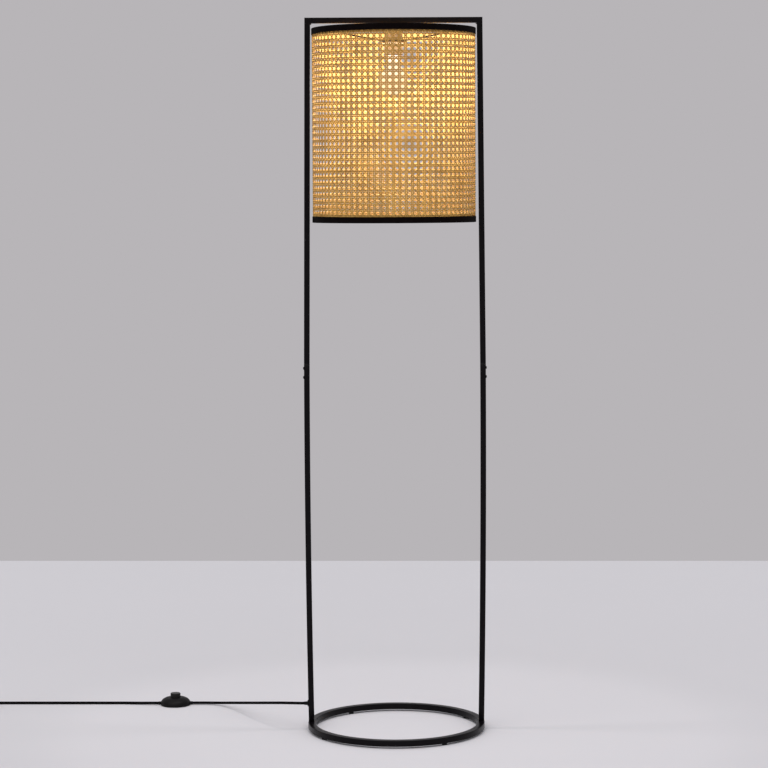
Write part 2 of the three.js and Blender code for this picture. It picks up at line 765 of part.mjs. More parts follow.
// Pedal switch, modelled about its own middle and placed on the lead
const baseBottom = switchPadHeight;
const baseTop = baseBottom + switchBaseThickness;
const coverInnerTop = switchHeight - switchWall;
const flangeTopHeight = coverInnerTop - fitGap;
const buttonBottom = flangeTopHeight - buttonFlangeThickness;
const buttonCeiling = buttonTop - buttonWall;
const screwHeadTop = baseBottom + switchScrewHeadHeight;
const screwTip = baseBottom + switchScrewLength;

// Domed side line of the cover, drawn in by a wall
function coverLine(wall) {
  const path = new THREE.Path();
  const across = switchRadius - switchCrownRadius - wall;
  const rise = switchHeight - switchSkirtTop - wall;
  path.absellipse(switchCrownRadius, switchSkirtTop, across, rise, 0, Math.PI / 2, false, 0);
  return path.getPoints(domeFacets).map((p) => [p.x, p.y]);
}

function reliefTool(side, radius) {
  const rod = disc(radius, switchRadius - 2 * switchReliefInset, switchRadius + cutOverrun, smallFacets);
  return rod.rotateY((side * Math.PI) / 2).translate(0, 0, switchCordHeight);
}

// Rods across the switch's two screw places
function screwRods(radius, zLow, zHigh) {
  return [-1, 1].map((end) => {
    return disc(radius, zLow, zHigh, smallFacets / 2).translate(0, end * bossOffset, 0);
  });
}

const reliefNotches = [-1, 1].map((side) => reliefTool(side, reliefRootRadius + fitGap));

function switchCover() {
  const hole = buttonRadius + fitGap;
  const outer = [[switchRadius, switchSkirtBottom], ...coverLine(0), [hole, switchHeight]];
  const inner = [[hole, coverInnerTop], ...coverLine(switchWall).reverse(),
    [switchRadius - switchWall, switchSkirtBottom], [switchRadius, switchSkirtBottom]];
  const middle = coverLine(switchWall / 2);
  const dome = turned([[0, switchSkirtBottom], ...middle, [0, middle[middle.length - 1][1]]],
    2 * smallFacets);
  const shell = turned([...outer, ...inner], 2 * smallFacets);
  const bosses = screwRods(bossRadius, baseTop + fitGap, switchHeight).map((rod) => common(rod, dome));
  const pilots = screwRods(switchScrewRadius + fitGap, 0, screwTip + fitGap);
  return cut(join(shell, ...bosses), ...pilots, ...reliefNotches);
}

function switchBase() {
  const plate = disc(switchRadius - switchWall - fitGap, baseBottom, baseTop, 2 * smallFacets);
  const headRecesses = screwRods(switchScrewHeadRadius + fitGap, 0, screwHeadTop + fitGap);
  const shankHoles = screwRods(switchScrewRadius + fitGap, 0, baseTop + cutOverrun);
  return cut(plate, ...headRecesses, ...shankHoles, ...reliefNotches);
}

function switchScrew() {
  const profile = [[0, baseBottom], [switchScrewHeadRadius, baseBottom],
    [switchScrewHeadRadius, screwHeadTop], [switchScrewRadius, screwHeadTop], [switchScrewRadius, screwTip],
    [0, screwTip]];
  return turned(profile, smallFacets / 2);
}

function switchButton() {
  const rim = buttonRadius + buttonFlangeWidth;
  const inner = buttonRadius - buttonWall;
  const tip = mechanismTop + buttonTravel + plungerClearance;
  const profile = [[0, tip], [plungerRadius, tip], [plungerRadius, buttonCeiling], [inner, buttonCeiling],
    [inner, buttonBottom], [rim, buttonBottom], [rim, flangeTopHeight],
    [buttonRadius, flangeTopHeight], [buttonRadius, buttonTop - buttonCrown],
    [buttonRadius - buttonCrown, buttonTop - buttonCrown / 4], [0, buttonTop]];
  return turned(profile, smallFacets);
}

function buttonSpring() {
  const low = mechanismTop + fitGap + springWire;
  const high = buttonCeiling - fitGap - springWire;
  const count = springCurls * springSteps;
  const points = Array.from({ length: count + 1 }, (_, k) => {
    const angle = (2 * Math.PI * k) / springSteps;
    const z = low + ((high - low) * k) / count;
    return new THREE.Vector3(springRadius * Math.cos(angle), springRadius * Math.sin(angle), z);
  });
  return tubeOnPoints(points, springWire, springSides);
}

function switchRelief(side) {
  const from = switchRadius - switchReliefInset;
  const collar = reliefRootRadius;
  const profile = [[0, from], ...tapered(collar, reliefTipRadius, from, from + switchReliefLength)];
  return turned(profile, smallFacets).rotateY((side * Math.PI) / 2);
}

add('switch_cover', switchCover(), blackPlastic, switchX, switchY);
add('switch_base', switchBase(), blackPlastic, switchX, switchY);
add('switch_pad', disc(switchPadRadius, 0, switchPadHeight, 2 * smallFacets), blackRubber,
  switchX, switchY);
add('switch_button', switchButton(), blackPlastic, switchX, switchY);
add('switch_spring', buttonSpring(), bareSteel, switchX, switchY);
add('switch_mechanism', block(-mechanismLength / 2, mechanismLength / 2, -mechanismWidth / 2,
  mechanismWidth / 2, baseTop + fitGap, mechanismTop), whiteCeramic, switchX, switchY);
for (const [side, name] of [[-1, 'out'], [1, 'in']]) {
  const near = mechanismLength / 2 + terminalGap;
  const terminal = block(near, near + terminalLength, -terminalWidth / 2, terminalWidth / 2,
    baseTop + fitGap, baseTop + fitGap + terminalHeight).scale(side, 1, 1);
  add(`switch_terminal_${name}`, terminal, brass, switchX, switchY);
  add(`switch_screw_${name}`, switchScrew(), bareSteel, switchX, switchY + side * bossOffset);
  add(`switch_relief_${name}`, switchRelief(side), blackRubber, switchX, switchY, switchCordHeight);
}

// Free lead and its coil: two flat layers, spiralling in and then out on top
function freeCord(points) {
  const curve = curveThrough(points);
  const steps = Math.round(curve.getLength() / (2 * cordRadius * cordStepDiameters));
  return tubeAlong(curve, cordRadius, cordSides, steps);
}

const [, coilTopY, coilLevel] = routeToCoil[routeToCoil.length - 1];
const coilY = coilTopY - coilOuterRadius;
const coilUpperLevel = coilLevel + coilLayerPitch;
const coilInnerRadius = coilOuterRadius - (coilTurnPitch * coilTurns) / 2;

// The coil, from its straight lead-in to the tail that drops from its upper layer to the plug
function coilPoints() {
  const count = coilTurns * coilStepsPerTurn;
  const straight = 2 * cordRadius;
  const points = [new THREE.Vector3(coilX + straight, coilTopY, coilLevel)];
  for (let k = 0; k <= count; k++) {
    const turn = k / coilStepsPerTurn;
    const climbStart = (coilTurns - coilClimbTurns) / 2;
    const climb = THREE.MathUtils.smoothstep(turn, climbStart, climbStart + coilClimbTurns);
    const radius = coilOuterRadius - coilTurnPitch * Math.min(turn, coilTurns - turn);
    const angle = Math.PI / 2 + 2 * Math.PI * turn;
    points.push(new THREE.Vector3(coilX + radius * Math.cos(angle), coilY + radius * Math.sin(angle),
      THREE.MathUtils.lerp(coilLevel, coilUpperLevel, climb)));
  }
  for (const [along, height] of plugTailShares) {
    points.push(new THREE.Vector3(coilX - along * plugTailLength, coilTopY,
      THREE.MathUtils.lerp(plugAxisHeight, coilUpperLevel, height)));
  }
  return points;
}

// Least gap between turns, measured between points at least half a turn apart
function leastGap(points) {
  let least = Infinity;
  for (let i = 0; i < points.length; i++) {
    for (let j = i + coilStepsPerTurn / 2; j < points.length; j++) {
      least = Math.min(least, points[i].distanceTo(points[j]) - 2 * cordRadius);
    }
  }
  return least;
}

const coilRoute = coilPoints();
console.log('least gap between turns of the coil', leastGap(coilRoute).toFixed(2), 'mm');
console.log('inner radius of the coil', coilInnerRadius.toFixed(1), 'mm');

// A flat strap round the bundle at the coil's front
function cordTie() {
  const yLow = coilY - coilOuterRadius + coilTurnPitch / 2 - cordRadius - tieClearance;
  const yHigh = coilY - coilInnerRadius + cordRadius + tieClearance;
  const zHigh = coilUpperLevel + cordRadius + fitGap;
  const outside = block(-tieWidth / 2, tieWidth / 2, yLow - tieThickness, yHigh + tieThickness, 0,
    zHigh + tieThickness);
  return cut(outside, block(-tieWidth, tieWidth, yLow, yHigh, tieThickness, zHigh));
}

add('cord_to_switch', freeCord(routeToSwitch), blackPlastic);
add('cord_to_coil', freeCord(routeToCoil), blackPlastic);
add('cord_coil', tubeOnPoints(coilRoute, cordRadius, coilSides), blackPlastic);
add('cord_tie', cordTie(), blackPlastic, coilX);

// Plug: a flat two-pin plug that lies beside the coil, pins pointing away from it
const reliefStart = coilX - plugTailLength - fitGap;
const plugBack = reliefStart - plugReliefLength - fitGap;
const plugNeck = plugBack - plugGripLength;
const plugFace = plugNeck - plugFaceLength;

function plugRelief() {
  const taperEnd = plugReliefTaperShare * plugReliefLength;
  const profile = [[0, 0], [reliefTipRadius, 0], [plugReliefRootRadius, taperEnd],
    [plugReliefRootRadius, plugReliefLength], [0, plugReliefLength]];
  return turned(profile, smallFacets).rotateY(-Math.PI / 2);
}

// Flat hexagonal body seen from above, wider at the pin face
function plugBody() {
  const [grip, face] = [plugGripWidth / 2, plugFaceWidth / 2];
  const chamfer = (face - grip) / 2;
  const shape = new THREE.Shape([[0, -grip + chamfer], [0, grip - chamfer], [-chamfer, grip],
    [-plugGripLength, face], [plugFace - plugBack, face], [plugFace - plugBack, -face],
    [-plugGripLength, -face], [-chamfer, -grip]].map(([x, y]) => new THREE.Vector2(x, y)));
  const body = new THREE.ExtrudeGeometry(shape, { depth: plugThickness, bevelEnabled: false });
  return body.translate(0, 0, -plugThickness / 2);
}

function plugPin() {
  const profile = [[0, 0], [plugPinRadius, 0], [plugPinRadius, plugPinLength - plugPinRadius],
    [plugPinRadius / 2, plugPinLength], [0, plugPinLength]];
  return turned(profile, smallFacets / 2).rotateY(-Math.PI / 2);
}

add('plug_relief', plugRelief(), blackPlastic, reliefStart, coilTopY, plugAxisHeight);
add('plug_body', plugBody(), blackPlastic, plugBack, coilTopY, plugAxisHeight);
for (const [side, name] of [[-1, 'front'], [1, 'back']]) {
  add(`plug_pin_${name}`, plugPin(), brass, plugFace, coilTopY + (side * plugPinSpacing) / 2,
    plugAxisHeight);
}

export default lamp;
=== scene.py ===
import bmesh
import bpy
from math import cos, pi, radians, sin, sqrt
from mathutils import Matrix, Vector


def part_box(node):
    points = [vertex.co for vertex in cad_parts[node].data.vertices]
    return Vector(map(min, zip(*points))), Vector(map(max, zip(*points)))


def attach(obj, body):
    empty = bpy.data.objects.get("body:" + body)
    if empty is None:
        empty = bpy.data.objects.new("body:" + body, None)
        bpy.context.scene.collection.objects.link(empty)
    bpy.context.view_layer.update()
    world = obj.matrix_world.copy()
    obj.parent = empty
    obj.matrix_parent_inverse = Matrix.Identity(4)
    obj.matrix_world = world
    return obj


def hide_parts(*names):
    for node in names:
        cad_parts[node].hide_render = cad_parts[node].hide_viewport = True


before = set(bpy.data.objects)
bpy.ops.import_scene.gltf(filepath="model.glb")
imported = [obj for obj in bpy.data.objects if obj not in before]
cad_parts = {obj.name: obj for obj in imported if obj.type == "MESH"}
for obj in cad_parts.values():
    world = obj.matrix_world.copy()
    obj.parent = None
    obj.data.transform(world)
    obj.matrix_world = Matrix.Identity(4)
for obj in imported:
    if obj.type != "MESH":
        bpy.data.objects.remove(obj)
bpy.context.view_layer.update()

# Camera
# It stands a little over five metres in front of the lamp, slightly left of its middle,
# looks down by less than five degrees and is rolled by a quarter of a degree.


def new_object(name, data):
    """An object of that data in the scene."""
    obj = bpy.data.objects.new(name, data)
    bpy.context.collection.objects.link(obj)
    return obj


camera = new_object("camera", bpy.data.cameras.new("camera"))
camera.location = (-0.0307, -5.1378, 1.164)
camera.rotation_euler = (radians(85.419), radians(0.2759), radians(-0.1006))
camera.data.sensor_width = 36
camera.data.lens = 112.35
bpy.context.scene.camera = camera
bpy.context.scene.view_settings.view_transform = "Standard"

# Free cord
# Black two-core cord with a smooth round sheath, 6.2 mm thick. It falls from the gland on
# the left post to the foot switch and lies on the floor from there. The rest is a coil
# with its tail, held by a strap, and ends in the plug.
cord_radius = 0.0031
route_to_switch = [
    (-0.2009, 0, 0.0573), (-0.2113, 0.0004, 0.0573), (-0.2237, 0.0027, 0.0571),
    (-0.2383, 0.0099, 0.0559), (-0.253, 0.0222, 0.0535), (-0.2677, 0.0392, 0.0499),
    (-0.2823, 0.0601, 0.0455), (-0.297, 0.0839, 0.0404), (-0.3117, 0.1096, 0.0349),
    (-0.3263, 0.1361, 0.0293), (-0.341, 0.1625, 0.0237), (-0.3556, 0.1877, 0.0183),
    (-0.3703, 0.2103, 0.0136), (-0.385, 0.2293, 0.0095), (-0.3996, 0.2432, 0.0066),
    (-0.4143, 0.2514, 0.005), (-0.4312, 0.255, 0.0045), (-0.4459, 0.2555, 0.0045),
    (-0.4634, 0.2555, 0.0045),
]
route_to_coil = [
    (-0.541, 0.2555, 0.0045), (-0.552, 0.2557, 0.0045), (-0.566, 0.2569, 0.0043),
    (-0.582, 0.2592, 0.0039), (-0.6, 0.262, 0.0035), (-0.62, 0.264, 0.0033),
    (-0.64, 0.2648, 0.0032), (-0.665, 0.2654, 0.0032), (-0.7, 0.2663, 0.0032),
    (-0.735, 0.2671, 0.0032), (-0.77, 0.268, 0.0032), (-0.805, 0.2688, 0.0032),
    (-0.84, 0.2697, 0.0032), (-0.875, 0.2705, 0.0032), (-0.9, 0.2711, 0.0032),
    (-0.92, 0.2714, 0.0035), (-0.933, 0.2715, 0.004), (-0.9465, 0.2715, 0.004),
]
coil_x = -0.953
coil_outer_radius = 0.0425
coil_turn_pitch = 0.0069
coil_layer_pitch = 0.0067
coil_turns = 5
coil_climb_turns = 0.5
coil_steps_per_turn = 48
plug_axis_height = 0.00685
plug_tail_length = 0.0365
plug_tail_shares = [(0.25, 1), (0.5, 1), (0.75, 0.3), (0.9, 0), (1, 0)]


def smooth_path(points, spacing):
    """Centripetal Catmull-Rom line through the points, sampled about every spacing."""
    line = [Vector(p) for p in points]
    line = [2 * line[0] - line[1], *line, 2 * line[-1] - line[-2]]
    path = []
    for i in range(1, len(line) - 2):
        p0, p1, p2, p3 = line[i - 1:i + 3]
        t1 = (p1 - p0).length ** 0.5
        t2 = t1 + (p2 - p1).length ** 0.5
        t3 = t2 + (p3 - p2).length ** 0.5
        count = max(1, round((p2 - p1).length / spacing))
        for k in range(count):
            t = t1 + (t2 - t1) * k / count
            a1 = p0.lerp(p1, t / t1)
            a2 = p1.lerp(p2, (t - t1) / (t2 - t1))
            a3 = p2.lerp(p3, (t - t2) / (t3 - t2))
            b1 = a1.lerp(a2, t / t2)
            b2 = a2.lerp(a3, (t - t1) / (t3 - t1))
            path.append(b1.lerp(b2, (t - t1) / (t2 - t1)))
    return [*path, line[-2]]


def coil_path():
    """Two flat layers of turns: the lower one winds in, the upper one winds out."""
    top_y, level = route_to_coil[-1][1:]
    centre_y = top_y - coil_outer_radius
    upper = level + coil_layer_pitch
    climb_start = (coil_turns - coil_climb_turns) / 2
    path = [Vector((coil_x + 2 * cord_radius, top_y, level))]
    for k in range(coil_turns * coil_steps_per_turn + 1):
        turn = k / coil_steps_per_turn
        share = min(max((turn - climb_start) / coil_climb_turns, 0), 1)
        climb = share * share * (3 - 2 * share)
        radius = coil_outer_radius - coil_turn_pitch * min(turn, coil_turns - turn)
        angle = pi / 2 + 2 * pi * turn
        path.append(Vector((coil_x + radius * cos(angle), centre_y + radius * sin(angle),
                            level + climb * coil_layer_pitch)))
    tail = [path[-1]]
    for along, height in plug_tail_shares:
        tail.append(Vector((coil_x - along * plug_tail_length, top_y,
                            plug_axis_height + height * (upper - plug_axis_height))))
    return path[:-1] + smooth_path(tail, spacing=0.003)


def to_object(name, bm, sharp_degrees=40):
    """A closed bmesh as an object at the origin, with faces outwards and smooth shading."""
    bmesh.ops.remove_doubles(bm, verts=bm.verts, dist=1e-7)
    bmesh.ops.recalc_face_normals(bm, faces=bm.faces)
    mesh = bpy.data.meshes.new(name)
    bm.to_mesh(mesh)
    bm.free()
    mesh.shade_smooth()
    mesh.set_sharp_from_angle(angle=radians(sharp_degrees))
    return new_object(name, mesh)


def full_turn(count):
    """Evenly spaced angles that go once round."""
    return [2 * pi * k / count for k in range(count)]


def skin(bm, rings, closed=False):
    """Faces from ring to ring, where one point is a pole. An open skin gets its ends capped."""
    for lower, upper in zip(rings, rings[1:] + (rings[:1] if closed else [])):
        count = max(len(lower), len(upper))
        for k in range(count):
            after = (k + 1) % count
            walk = ((lower, k), (lower, after), (upper, after), (upper, k))
            corners = list(dict.fromkeys(ring[i % len(ring)] for ring, i in walk))
            if len(corners) > 2:
                bm.faces.new(corners)
    if not closed and len(rings[0]) > 1:
        bm.faces.new(reversed(rings[0]))
        bm.faces.new(rings[-1])


def round_tube(name, path, radii, sides=16):
    """A round closed tube along a path. radii is one radius, or one for each point."""
    if not hasattr(radii, "__len__"):
        radii = [radii] * len(path)
    bm = bmesh.new()
    rings = []
    normal = Vector((0, 0, 1))
    for i, point in enumerate(path):
        along = (path[min(i + 1, len(path) - 1)] - path[max(i - 1, 0)]).normalized()
        normal = (normal - along * normal.dot(along)).normalized()
        side = along.cross(normal)
        rings.append([bm.verts.new(point + radii[i] * (cos(a) * normal + sin(a) * side))
                      for a in full_turn(sides)])
    skin(bm, rings)
    return to_object(name, bm)


class Flow:
    """A number that flows through a node tree and takes the plain signs of arithmetic."""

    def __init__(self, socket):
        self.socket = socket

    def __add__(self, other):
        return worked("ADD", self, other)

    def __sub__(self, other):
        return worked("SUBTRACT", self, other)

    def __rsub__(self, other):
        return worked("SUBTRACT", other, self)

    def __mul__(self, other):
        return worked("MULTIPLY", self, other)

    def __truediv__(self, other):
        return worked("DIVIDE", self, other)


def node_in(tree, kind, inputs=(), **settings):
    """A node with its inputs, by name or number, set to values or linked."""
    node = tree.nodes.new(kind)
    for key, value in settings.items():
        setattr(node, key, value)
    for key, value in dict(inputs).items():
        if isinstance(value, Flow):
            value = value.socket
        if isinstance(value, bpy.types.NodeSocket):
            tree.links.new(value, node.inputs[key])
        else:
            node.inputs[key].default_value = value
    return node


def worked(operation, *values):
    """The result of a math node on plain numbers and flowing ones."""
    tree = next(value.socket.id_data for value in values if isinstance(value, Flow))
    node = node_in(tree, "ShaderNodeMath", dict(enumerate(values)), operation=operation)
    return Flow(node.outputs[0])


def finish_material(name, color, roughness, metallic=0.0, specular=0.5):
    """A new material whose even values stand on the shader itself."""
    material = bpy.data.materials.new(name)
    material.use_nodes = True
    shader = material.node_tree.nodes["Principled BSDF"]
    shader.inputs["Base Color"].default_value = (*color, 1)
    shader.inputs["Roughness"].default_value = roughness
    shader.inputs["Metallic"].default_value = metallic
    shader.inputs["Specular IOR Level"].default_value = specular
    return material


def drive(material, name, socket):
    """Links a socket to the shader's input of that name."""
    material.node_tree.links.new(socket, material.node_tree.nodes["Principled BSDF"].inputs[name])
    return socket


def noise_on(material, scale, detail=3.0, stretch=(1, 1, 1)):
    """Noise on object coordinates, stretched along the axes."""
    tree = material.node_tree
    point = node_in(tree, "ShaderNodeTexCoord").outputs["Object"]
    mapped = node_in(tree, "ShaderNodeMapping", {"Vector": point, "Scale": stretch}).outputs["Vector"]
    noise = node_in(tree, "ShaderNodeTexNoise", {"Vector": mapped, "Scale": scale, "Detail": detail})
    return Flow(noise.outputs["Fac"])


def colour_by(material, value, *stops):
    """Base colour from a value, through a ramp of two (position, colour) stops."""
    ramp = node_in(material.node_tree, "ShaderNodeValToRGB", {"Fac": value})
    for element, (position, color) in zip(ramp.color_ramp.elements, stops):
        element.position = position
        element.color = (*color, 1)
    return drive(material, "Base Color", ramp.outputs["Color"])


def roughen_by(material, value, low, high):
    """Roughness that goes from low to high as a value goes from 0.3 to 0.7."""
    span = node_in(material.node_tree, "ShaderNodeMapRange",
                   {"Value": value, "From Min": 0.3, "From Max": 0.7, "To Min": low, "To Max": high})
    drive(material, "Roughness", span.outputs["Result"])


def bump_by(material, value, strength, distance):
    """Fine relief from a value."""
    bump = node_in(material.node_tree, "ShaderNodeBump",
                   {"Height": value, "Strength": strength, "Distance": distance})
    drive(material, "Normal", bump.outputs["Normal"])


def place(obj, material, slot, *nodes, body="lamp"):
    """Paints a piece, hides the solids it stands for, and lets it ride. Its slot is not used."""
    obj.data.materials.clear()
    obj.data.materials.append(material)
    if nodes:
        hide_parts(*nodes)
    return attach(obj, body)


sheath = finish_material("cord_sheath", (0.003, 0.0025, 0.003), 0.55, specular=0.025)
sheath_noise = noise_on(sheath, 260)
colour_by(sheath, sheath_noise, (0.35, (0.0025, 0.002, 0.0025)), (0.7, (0.004, 0.0034, 0.004)))
roughen_by(sheath, sheath_noise, 0.48, 0.62)
bump_by(sheath, noise_on(sheath, 900), 0.25, 0.00012)

first_path = smooth_path(route_to_switch, spacing=0.004)
lead_to_switch = place(round_tube("lead_to_switch", first_path, cord_radius), sheath, "cord_sheath",
                       "cord_to_switch")
second_path = smooth_path(route_to_coil, spacing=0.006) + coil_path()
lead_to_plug = place(round_tube("lead_to_plug", second_path, cord_radius), sheath, "cord_sheath",
                     "cord_to_coil", "cord_coil")


def path_length(path):
    return sum((b - a).length for a, b in zip(path, path[1:]))


# Frame tubes
# Square steel tube, 12 mm, with small rounded edges, under a satin black powder coat.
# The top bar is mitred and welded to the upper posts; the lower posts bow a little
# outwards and are welded on the ring foot.
lamp_height = 1.5335
tube_half = 0.006
edge_radius = 0.0006
end_break = 0.0006
frame_top_half = 0.189
frame_bulge = 0.0066
frame_bulge_height = 0.64
joint_height = 0.797
ring_radius = 0.1915
ring_top = 0.017
post_inset = 0.001
mitre_height = lamp_height - tube_half
left_and_right = ((-1, "left"), (1, "right"))


def post_line(z):
    """Distance of a post's centre line from the lamp's middle."""
    bulge = frame_top_half - tube_half + frame_bulge
    foot = ring_radius - post_inset - tube_half
    fall = (min(z, joint_height) - frame_bulge_height) / (ring_top - frame_bulge_height)
    low = bulge - (bulge - foot) * fall * fall
    if z <= joint_height:
        return low
    share = (z - joint_height) / (lamp_height - joint_height)
    return low + (frame_top_half - tube_half - low) * share


def square_ring(half):
    """Offsets round a square with rounded corners, anticlockwise."""
    inset = half - edge_radius
    corners = [(1, 1, 0), (-1, 1, 90), (-1, -1, 180), (1, -1, 270)]
    return [(sx * inset + edge_radius * cos(radians(start + turn)),
             sy * inset + edge_radius * sin(radians(start + turn)))
            for sx, sy, start in corners for turn in (0, 30, 60, 90)]


def square_tube(name, stations):
    """A closed square tube. A station maps an offset (a, b) across the tube to a point."""
    bm = bmesh.new()
    skin(bm, [[bm.verts.new(station(a, b)) for a, b in square_ring(half)] for station, half in stations])
    return to_object(name, bm, sharp_degrees=50)


def level_station(side, z, reach):
    """A level cut through a post, its centre at reach from the lamp's middle."""
    return lambda a, b: Vector((side * (reach + a), b, z))


def mitred_end(side):
    """The mitre at a top corner: the outside reaches higher than the inside."""
    return lambda a, b: Vector((side * (frame_top_half - tube_half + a), b, mitre_height + a))


def bar_station(x):
    """An upright cut through the top bar."""
    return lambda a, b: Vector((x, b, mitre_height + a))


def post_stations(side, low, high, count):
    """Level cuts from a post's lower end upwards, with a small break of the edge there."""
    heights = [low + end_break] + [low + (high - low) * k / count for k in range(1, count)]
    first = (level_station(side, low, post_line(low)), tube_half - end_break / 2)
    return [first] + [(level_station(side, z, post_line(z)), tube_half) for z in heights]


powder = finish_material("black_powder_coat", (0.0035, 0.0026, 0.0035), 0.3, specular=0.09)
colour_by(powder, noise_on(powder, 70), (0.3, (0.0028, 0.002, 0.0028)), (0.72, (0.0042, 0.0034, 0.0042)))
roughen_by(powder, noise_on(powder, 35), 0.25, 0.35)
bump_by(powder, noise_on(powder, 1400, 2), 0.22, 0.0001)

joint_reach = post_line(joint_height)
for side, word in left_and_right:
    stations = post_stations(side, ring_top, joint_height, count=24)
    stations.append((level_station(side, joint_height - end_break, joint_reach), tube_half))
    stations.append((level_station(side, joint_height, joint_reach), tube_half - end_break / 2))
    place(square_tube(f"post_lower_{word}", stations), powder, "black_paint", f"lower_post_{word}")
    stations = post_stations(side, joint_height, mitre_height - 2 * tube_half, count=6)
    stations.append((mitred_end(side), tube_half))
    place(square_tube(f"post_upper_{word}", stations), powder, "black_paint", f"upper_post_{word}")

bar_end = frame_top_half - 3 * tube_half
bar_steps = 8
bar = [bar_station(-bar_end + 2 * bar_end * k / bar_steps) for k in range(bar_steps + 1)]
bar = [(station, tube_half) for station in (mitred_end(-1), *bar, mitred_end(1))]
place(square_tube("frame_top_bar", bar), powder, "black_paint", "top_bar")

# Corner welds
# A short weld bead fills the inner corner where each post meets the top bar. It is
# ground only roughly, and coated with the rest of the frame.
weld_length = 0.011
weld_radius = 0.0021
weld_sink = 0.0004
weld_lumps = 6.5
weld_lump_share = 0.12
weld_end_share = 0.55
weld_end_rise = 4
weld_steps = 24


def weld_bead(name, side):
    """A lumpy bead along the inner mitre corner, across the tube."""
    x = side * (frame_top_half - 2 * tube_half - weld_sink)
    z = lamp_height - 2 * tube_half - weld_sink
    shares = [k / weld_steps for k in range(weld_steps + 1)]
    path = [Vector((x, (share - 0.5) * weld_length, z)) for share in shares]
    radii = [weld_radius * (1 + weld_lump_share * sin(2 * pi * weld_lumps * share))
             * min(1, weld_end_share + weld_end_rise * min(share, 1 - share)) for share in shares]
    return round_tube(name, path, radii, sides=14)


for side, word in left_and_right:
    place(weld_bead(f"corner_weld_{word}", side), powder, "black_paint")

# Mid joint
# A steel spigot sits inside each pair of posts, and two small button-head screws hold the
# lower post to it from the outside. The spigots are plain zinc-plated steel.
joint_screw_drops = (0.010, 0.0295)
screw_radius = 0.0017
screw_seat_gap = 0.0001
screw_head_radius = 0.0034
screw_head_height = 0.002
screw_head_shares = [(1, 0), (1, 0.35), (0.55, 1), (0, 1)]
screw_edge = 0.0005
key_across = 0.0022
key_depth = 0.0012
corner_reach_share = 0.45


def level_ring(bm, z, radii):
    """Points at one height round Z, one for each radius."""
    return [bm.verts.new((r * cos(a), r * sin(a), z)) for r, a in zip(radii, full_turn(len(radii)))]


def turned(name, profile, segments=48, sharp_degrees=40):
    """A closed body of revolution about Z. The profile runs from axis to axis, or in a loop."""
    bm = bmesh.new()
    rings = [level_ring(bm, z, [radius] * (segments if radius else 1)) for radius, z in profile]
    skin(bm, rings, closed=profile[0][0] > 0)
    return to_object(name, bm, sharp_degrees)


def rounded(profile, radius, closed=False, steps=4):
    """The profile with its corners rounded. The ends of an open one stay as they are."""
    points = [Vector(p) for p in profile]
    result = []
    for i, corner in enumerate(points):
        if not closed and i in (0, len(points) - 1):
            result.append(tuple(corner))
            continue
        back = points[i - 1] - corner
        ahead = points[(i + 1) % len(points)] - corner
        reach = min(radius, corner_reach_share * back.length, corner_reach_share * ahead.length)
        start = corner + back.normalized() * reach
        end = corner + ahead.normalized() * reach
        for k in range(steps + 1):
            t = k / steps
            result.append(tuple(start.lerp(corner, t).lerp(corner.lerp(end, t), t)))
    return result


def block(inner, outer, low, high, edge):
    """The rounded section of a ring, or of a disc where inner is 0."""
    return rounded([(inner, low), (outer, low), (outer, high), (inner, high)], edge, inner > 0)


def put_at(obj, offset, quarter_turns=0):
    """Turns a piece's mesh about Y by quarter turns and moves it to its place."""
    obj.data.transform(Matrix.Rotation(quarter_turns * pi / 2, 4, "Y"))
    obj.data.transform(Matrix.Translation(offset))
    return obj


def settled(obj):
    """Keeps what the modifiers make as the piece's plain mesh."""
    depsgraph = bpy.context.evaluated_depsgraph_get()
    mesh = bpy.data.meshes.new_from_object(obj.evaluated_get(depsgraph))
    obj.modifiers.clear()
    obj.data = mesh
    return obj


def recut(obj, cutter):
    """Takes the cutter's body out of obj."""
    modifier = obj.modifiers.new("recess", "BOOLEAN")
    modifier.operation = "DIFFERENCE"
    modifier.solver = "EXACT"
    modifier.object = cutter
    settled(obj)
    bpy.data.objects.remove(cutter)
    return obj


def hexagon_key(top):
    """A hexagonal prism that reaches down into a screw's head from its top."""
    bm = bmesh.new()
    bmesh.ops.create_cone(bm, cap_ends=True, segments=6, radius1=key_across / 2, radius2=key_across / 2,
                          depth=2 * key_depth)
    bmesh.ops.translate(bm, verts=bm.verts, vec=(0, 0, top))
    return to_object("key", bm)


def paint_solids(material, *nodes):
    """Paints solids of the CAD model that stay as they are."""
    for node in nodes:
        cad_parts[node].data.materials[0] = material


for side, word in left_and_right:
    for drop, place_word in zip(joint_screw_drops, ("top", "bottom")):
        z = joint_height - drop
        seat = post_line(z) + tube_half + screw_seat_gap
        low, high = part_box(f"joint_screw_{word}_{place_word}")
        tip = min(abs(low.x), abs(high.x))
        profile = [(0, tip), (screw_radius, tip), (screw_radius, seat)]
        profile += [(screw_head_radius * across, seat + screw_head_height * up)
                    for across, up in screw_head_shares]
        screw = turned(f"screw_{word}_{place_word}", rounded(profile, screw_edge), segments=32)
        screw = recut(screw, hexagon_key(seat + screw_head_height))
        place(put_at(screw, Vector((0, 0, z)), side), powder, "black_paint",
              f"joint_screw_{word}_{place_word}")

bare_steel = finish_material("zinc_plated_steel", (0.5, 0.5, 0.52), 0.32, metallic=1)
roughen_by(bare_steel, noise_on(bare_steel, 90, stretch=(1, 1, 0.2)), 0.25, 0.45)
bump_by(bare_steel, noise_on(bare_steel, 700), 0.15, 0.00008)
paint_solids(bare_steel, "spigot_left", "spigot_right")

# Ring foot
# One hoop of flat-sided tube, 15 mm wide and 12.6 mm high, 383 mm across outside, with
# rounded edges and the same coat as the posts. Four round rubber pads are stuck under it.
ring_width = 0.015
ring_edge_radius = 0.0009
pad_count = 4
pad_height = 0.0044
pad_radius = 0.0055
pad_edge = 0.0005

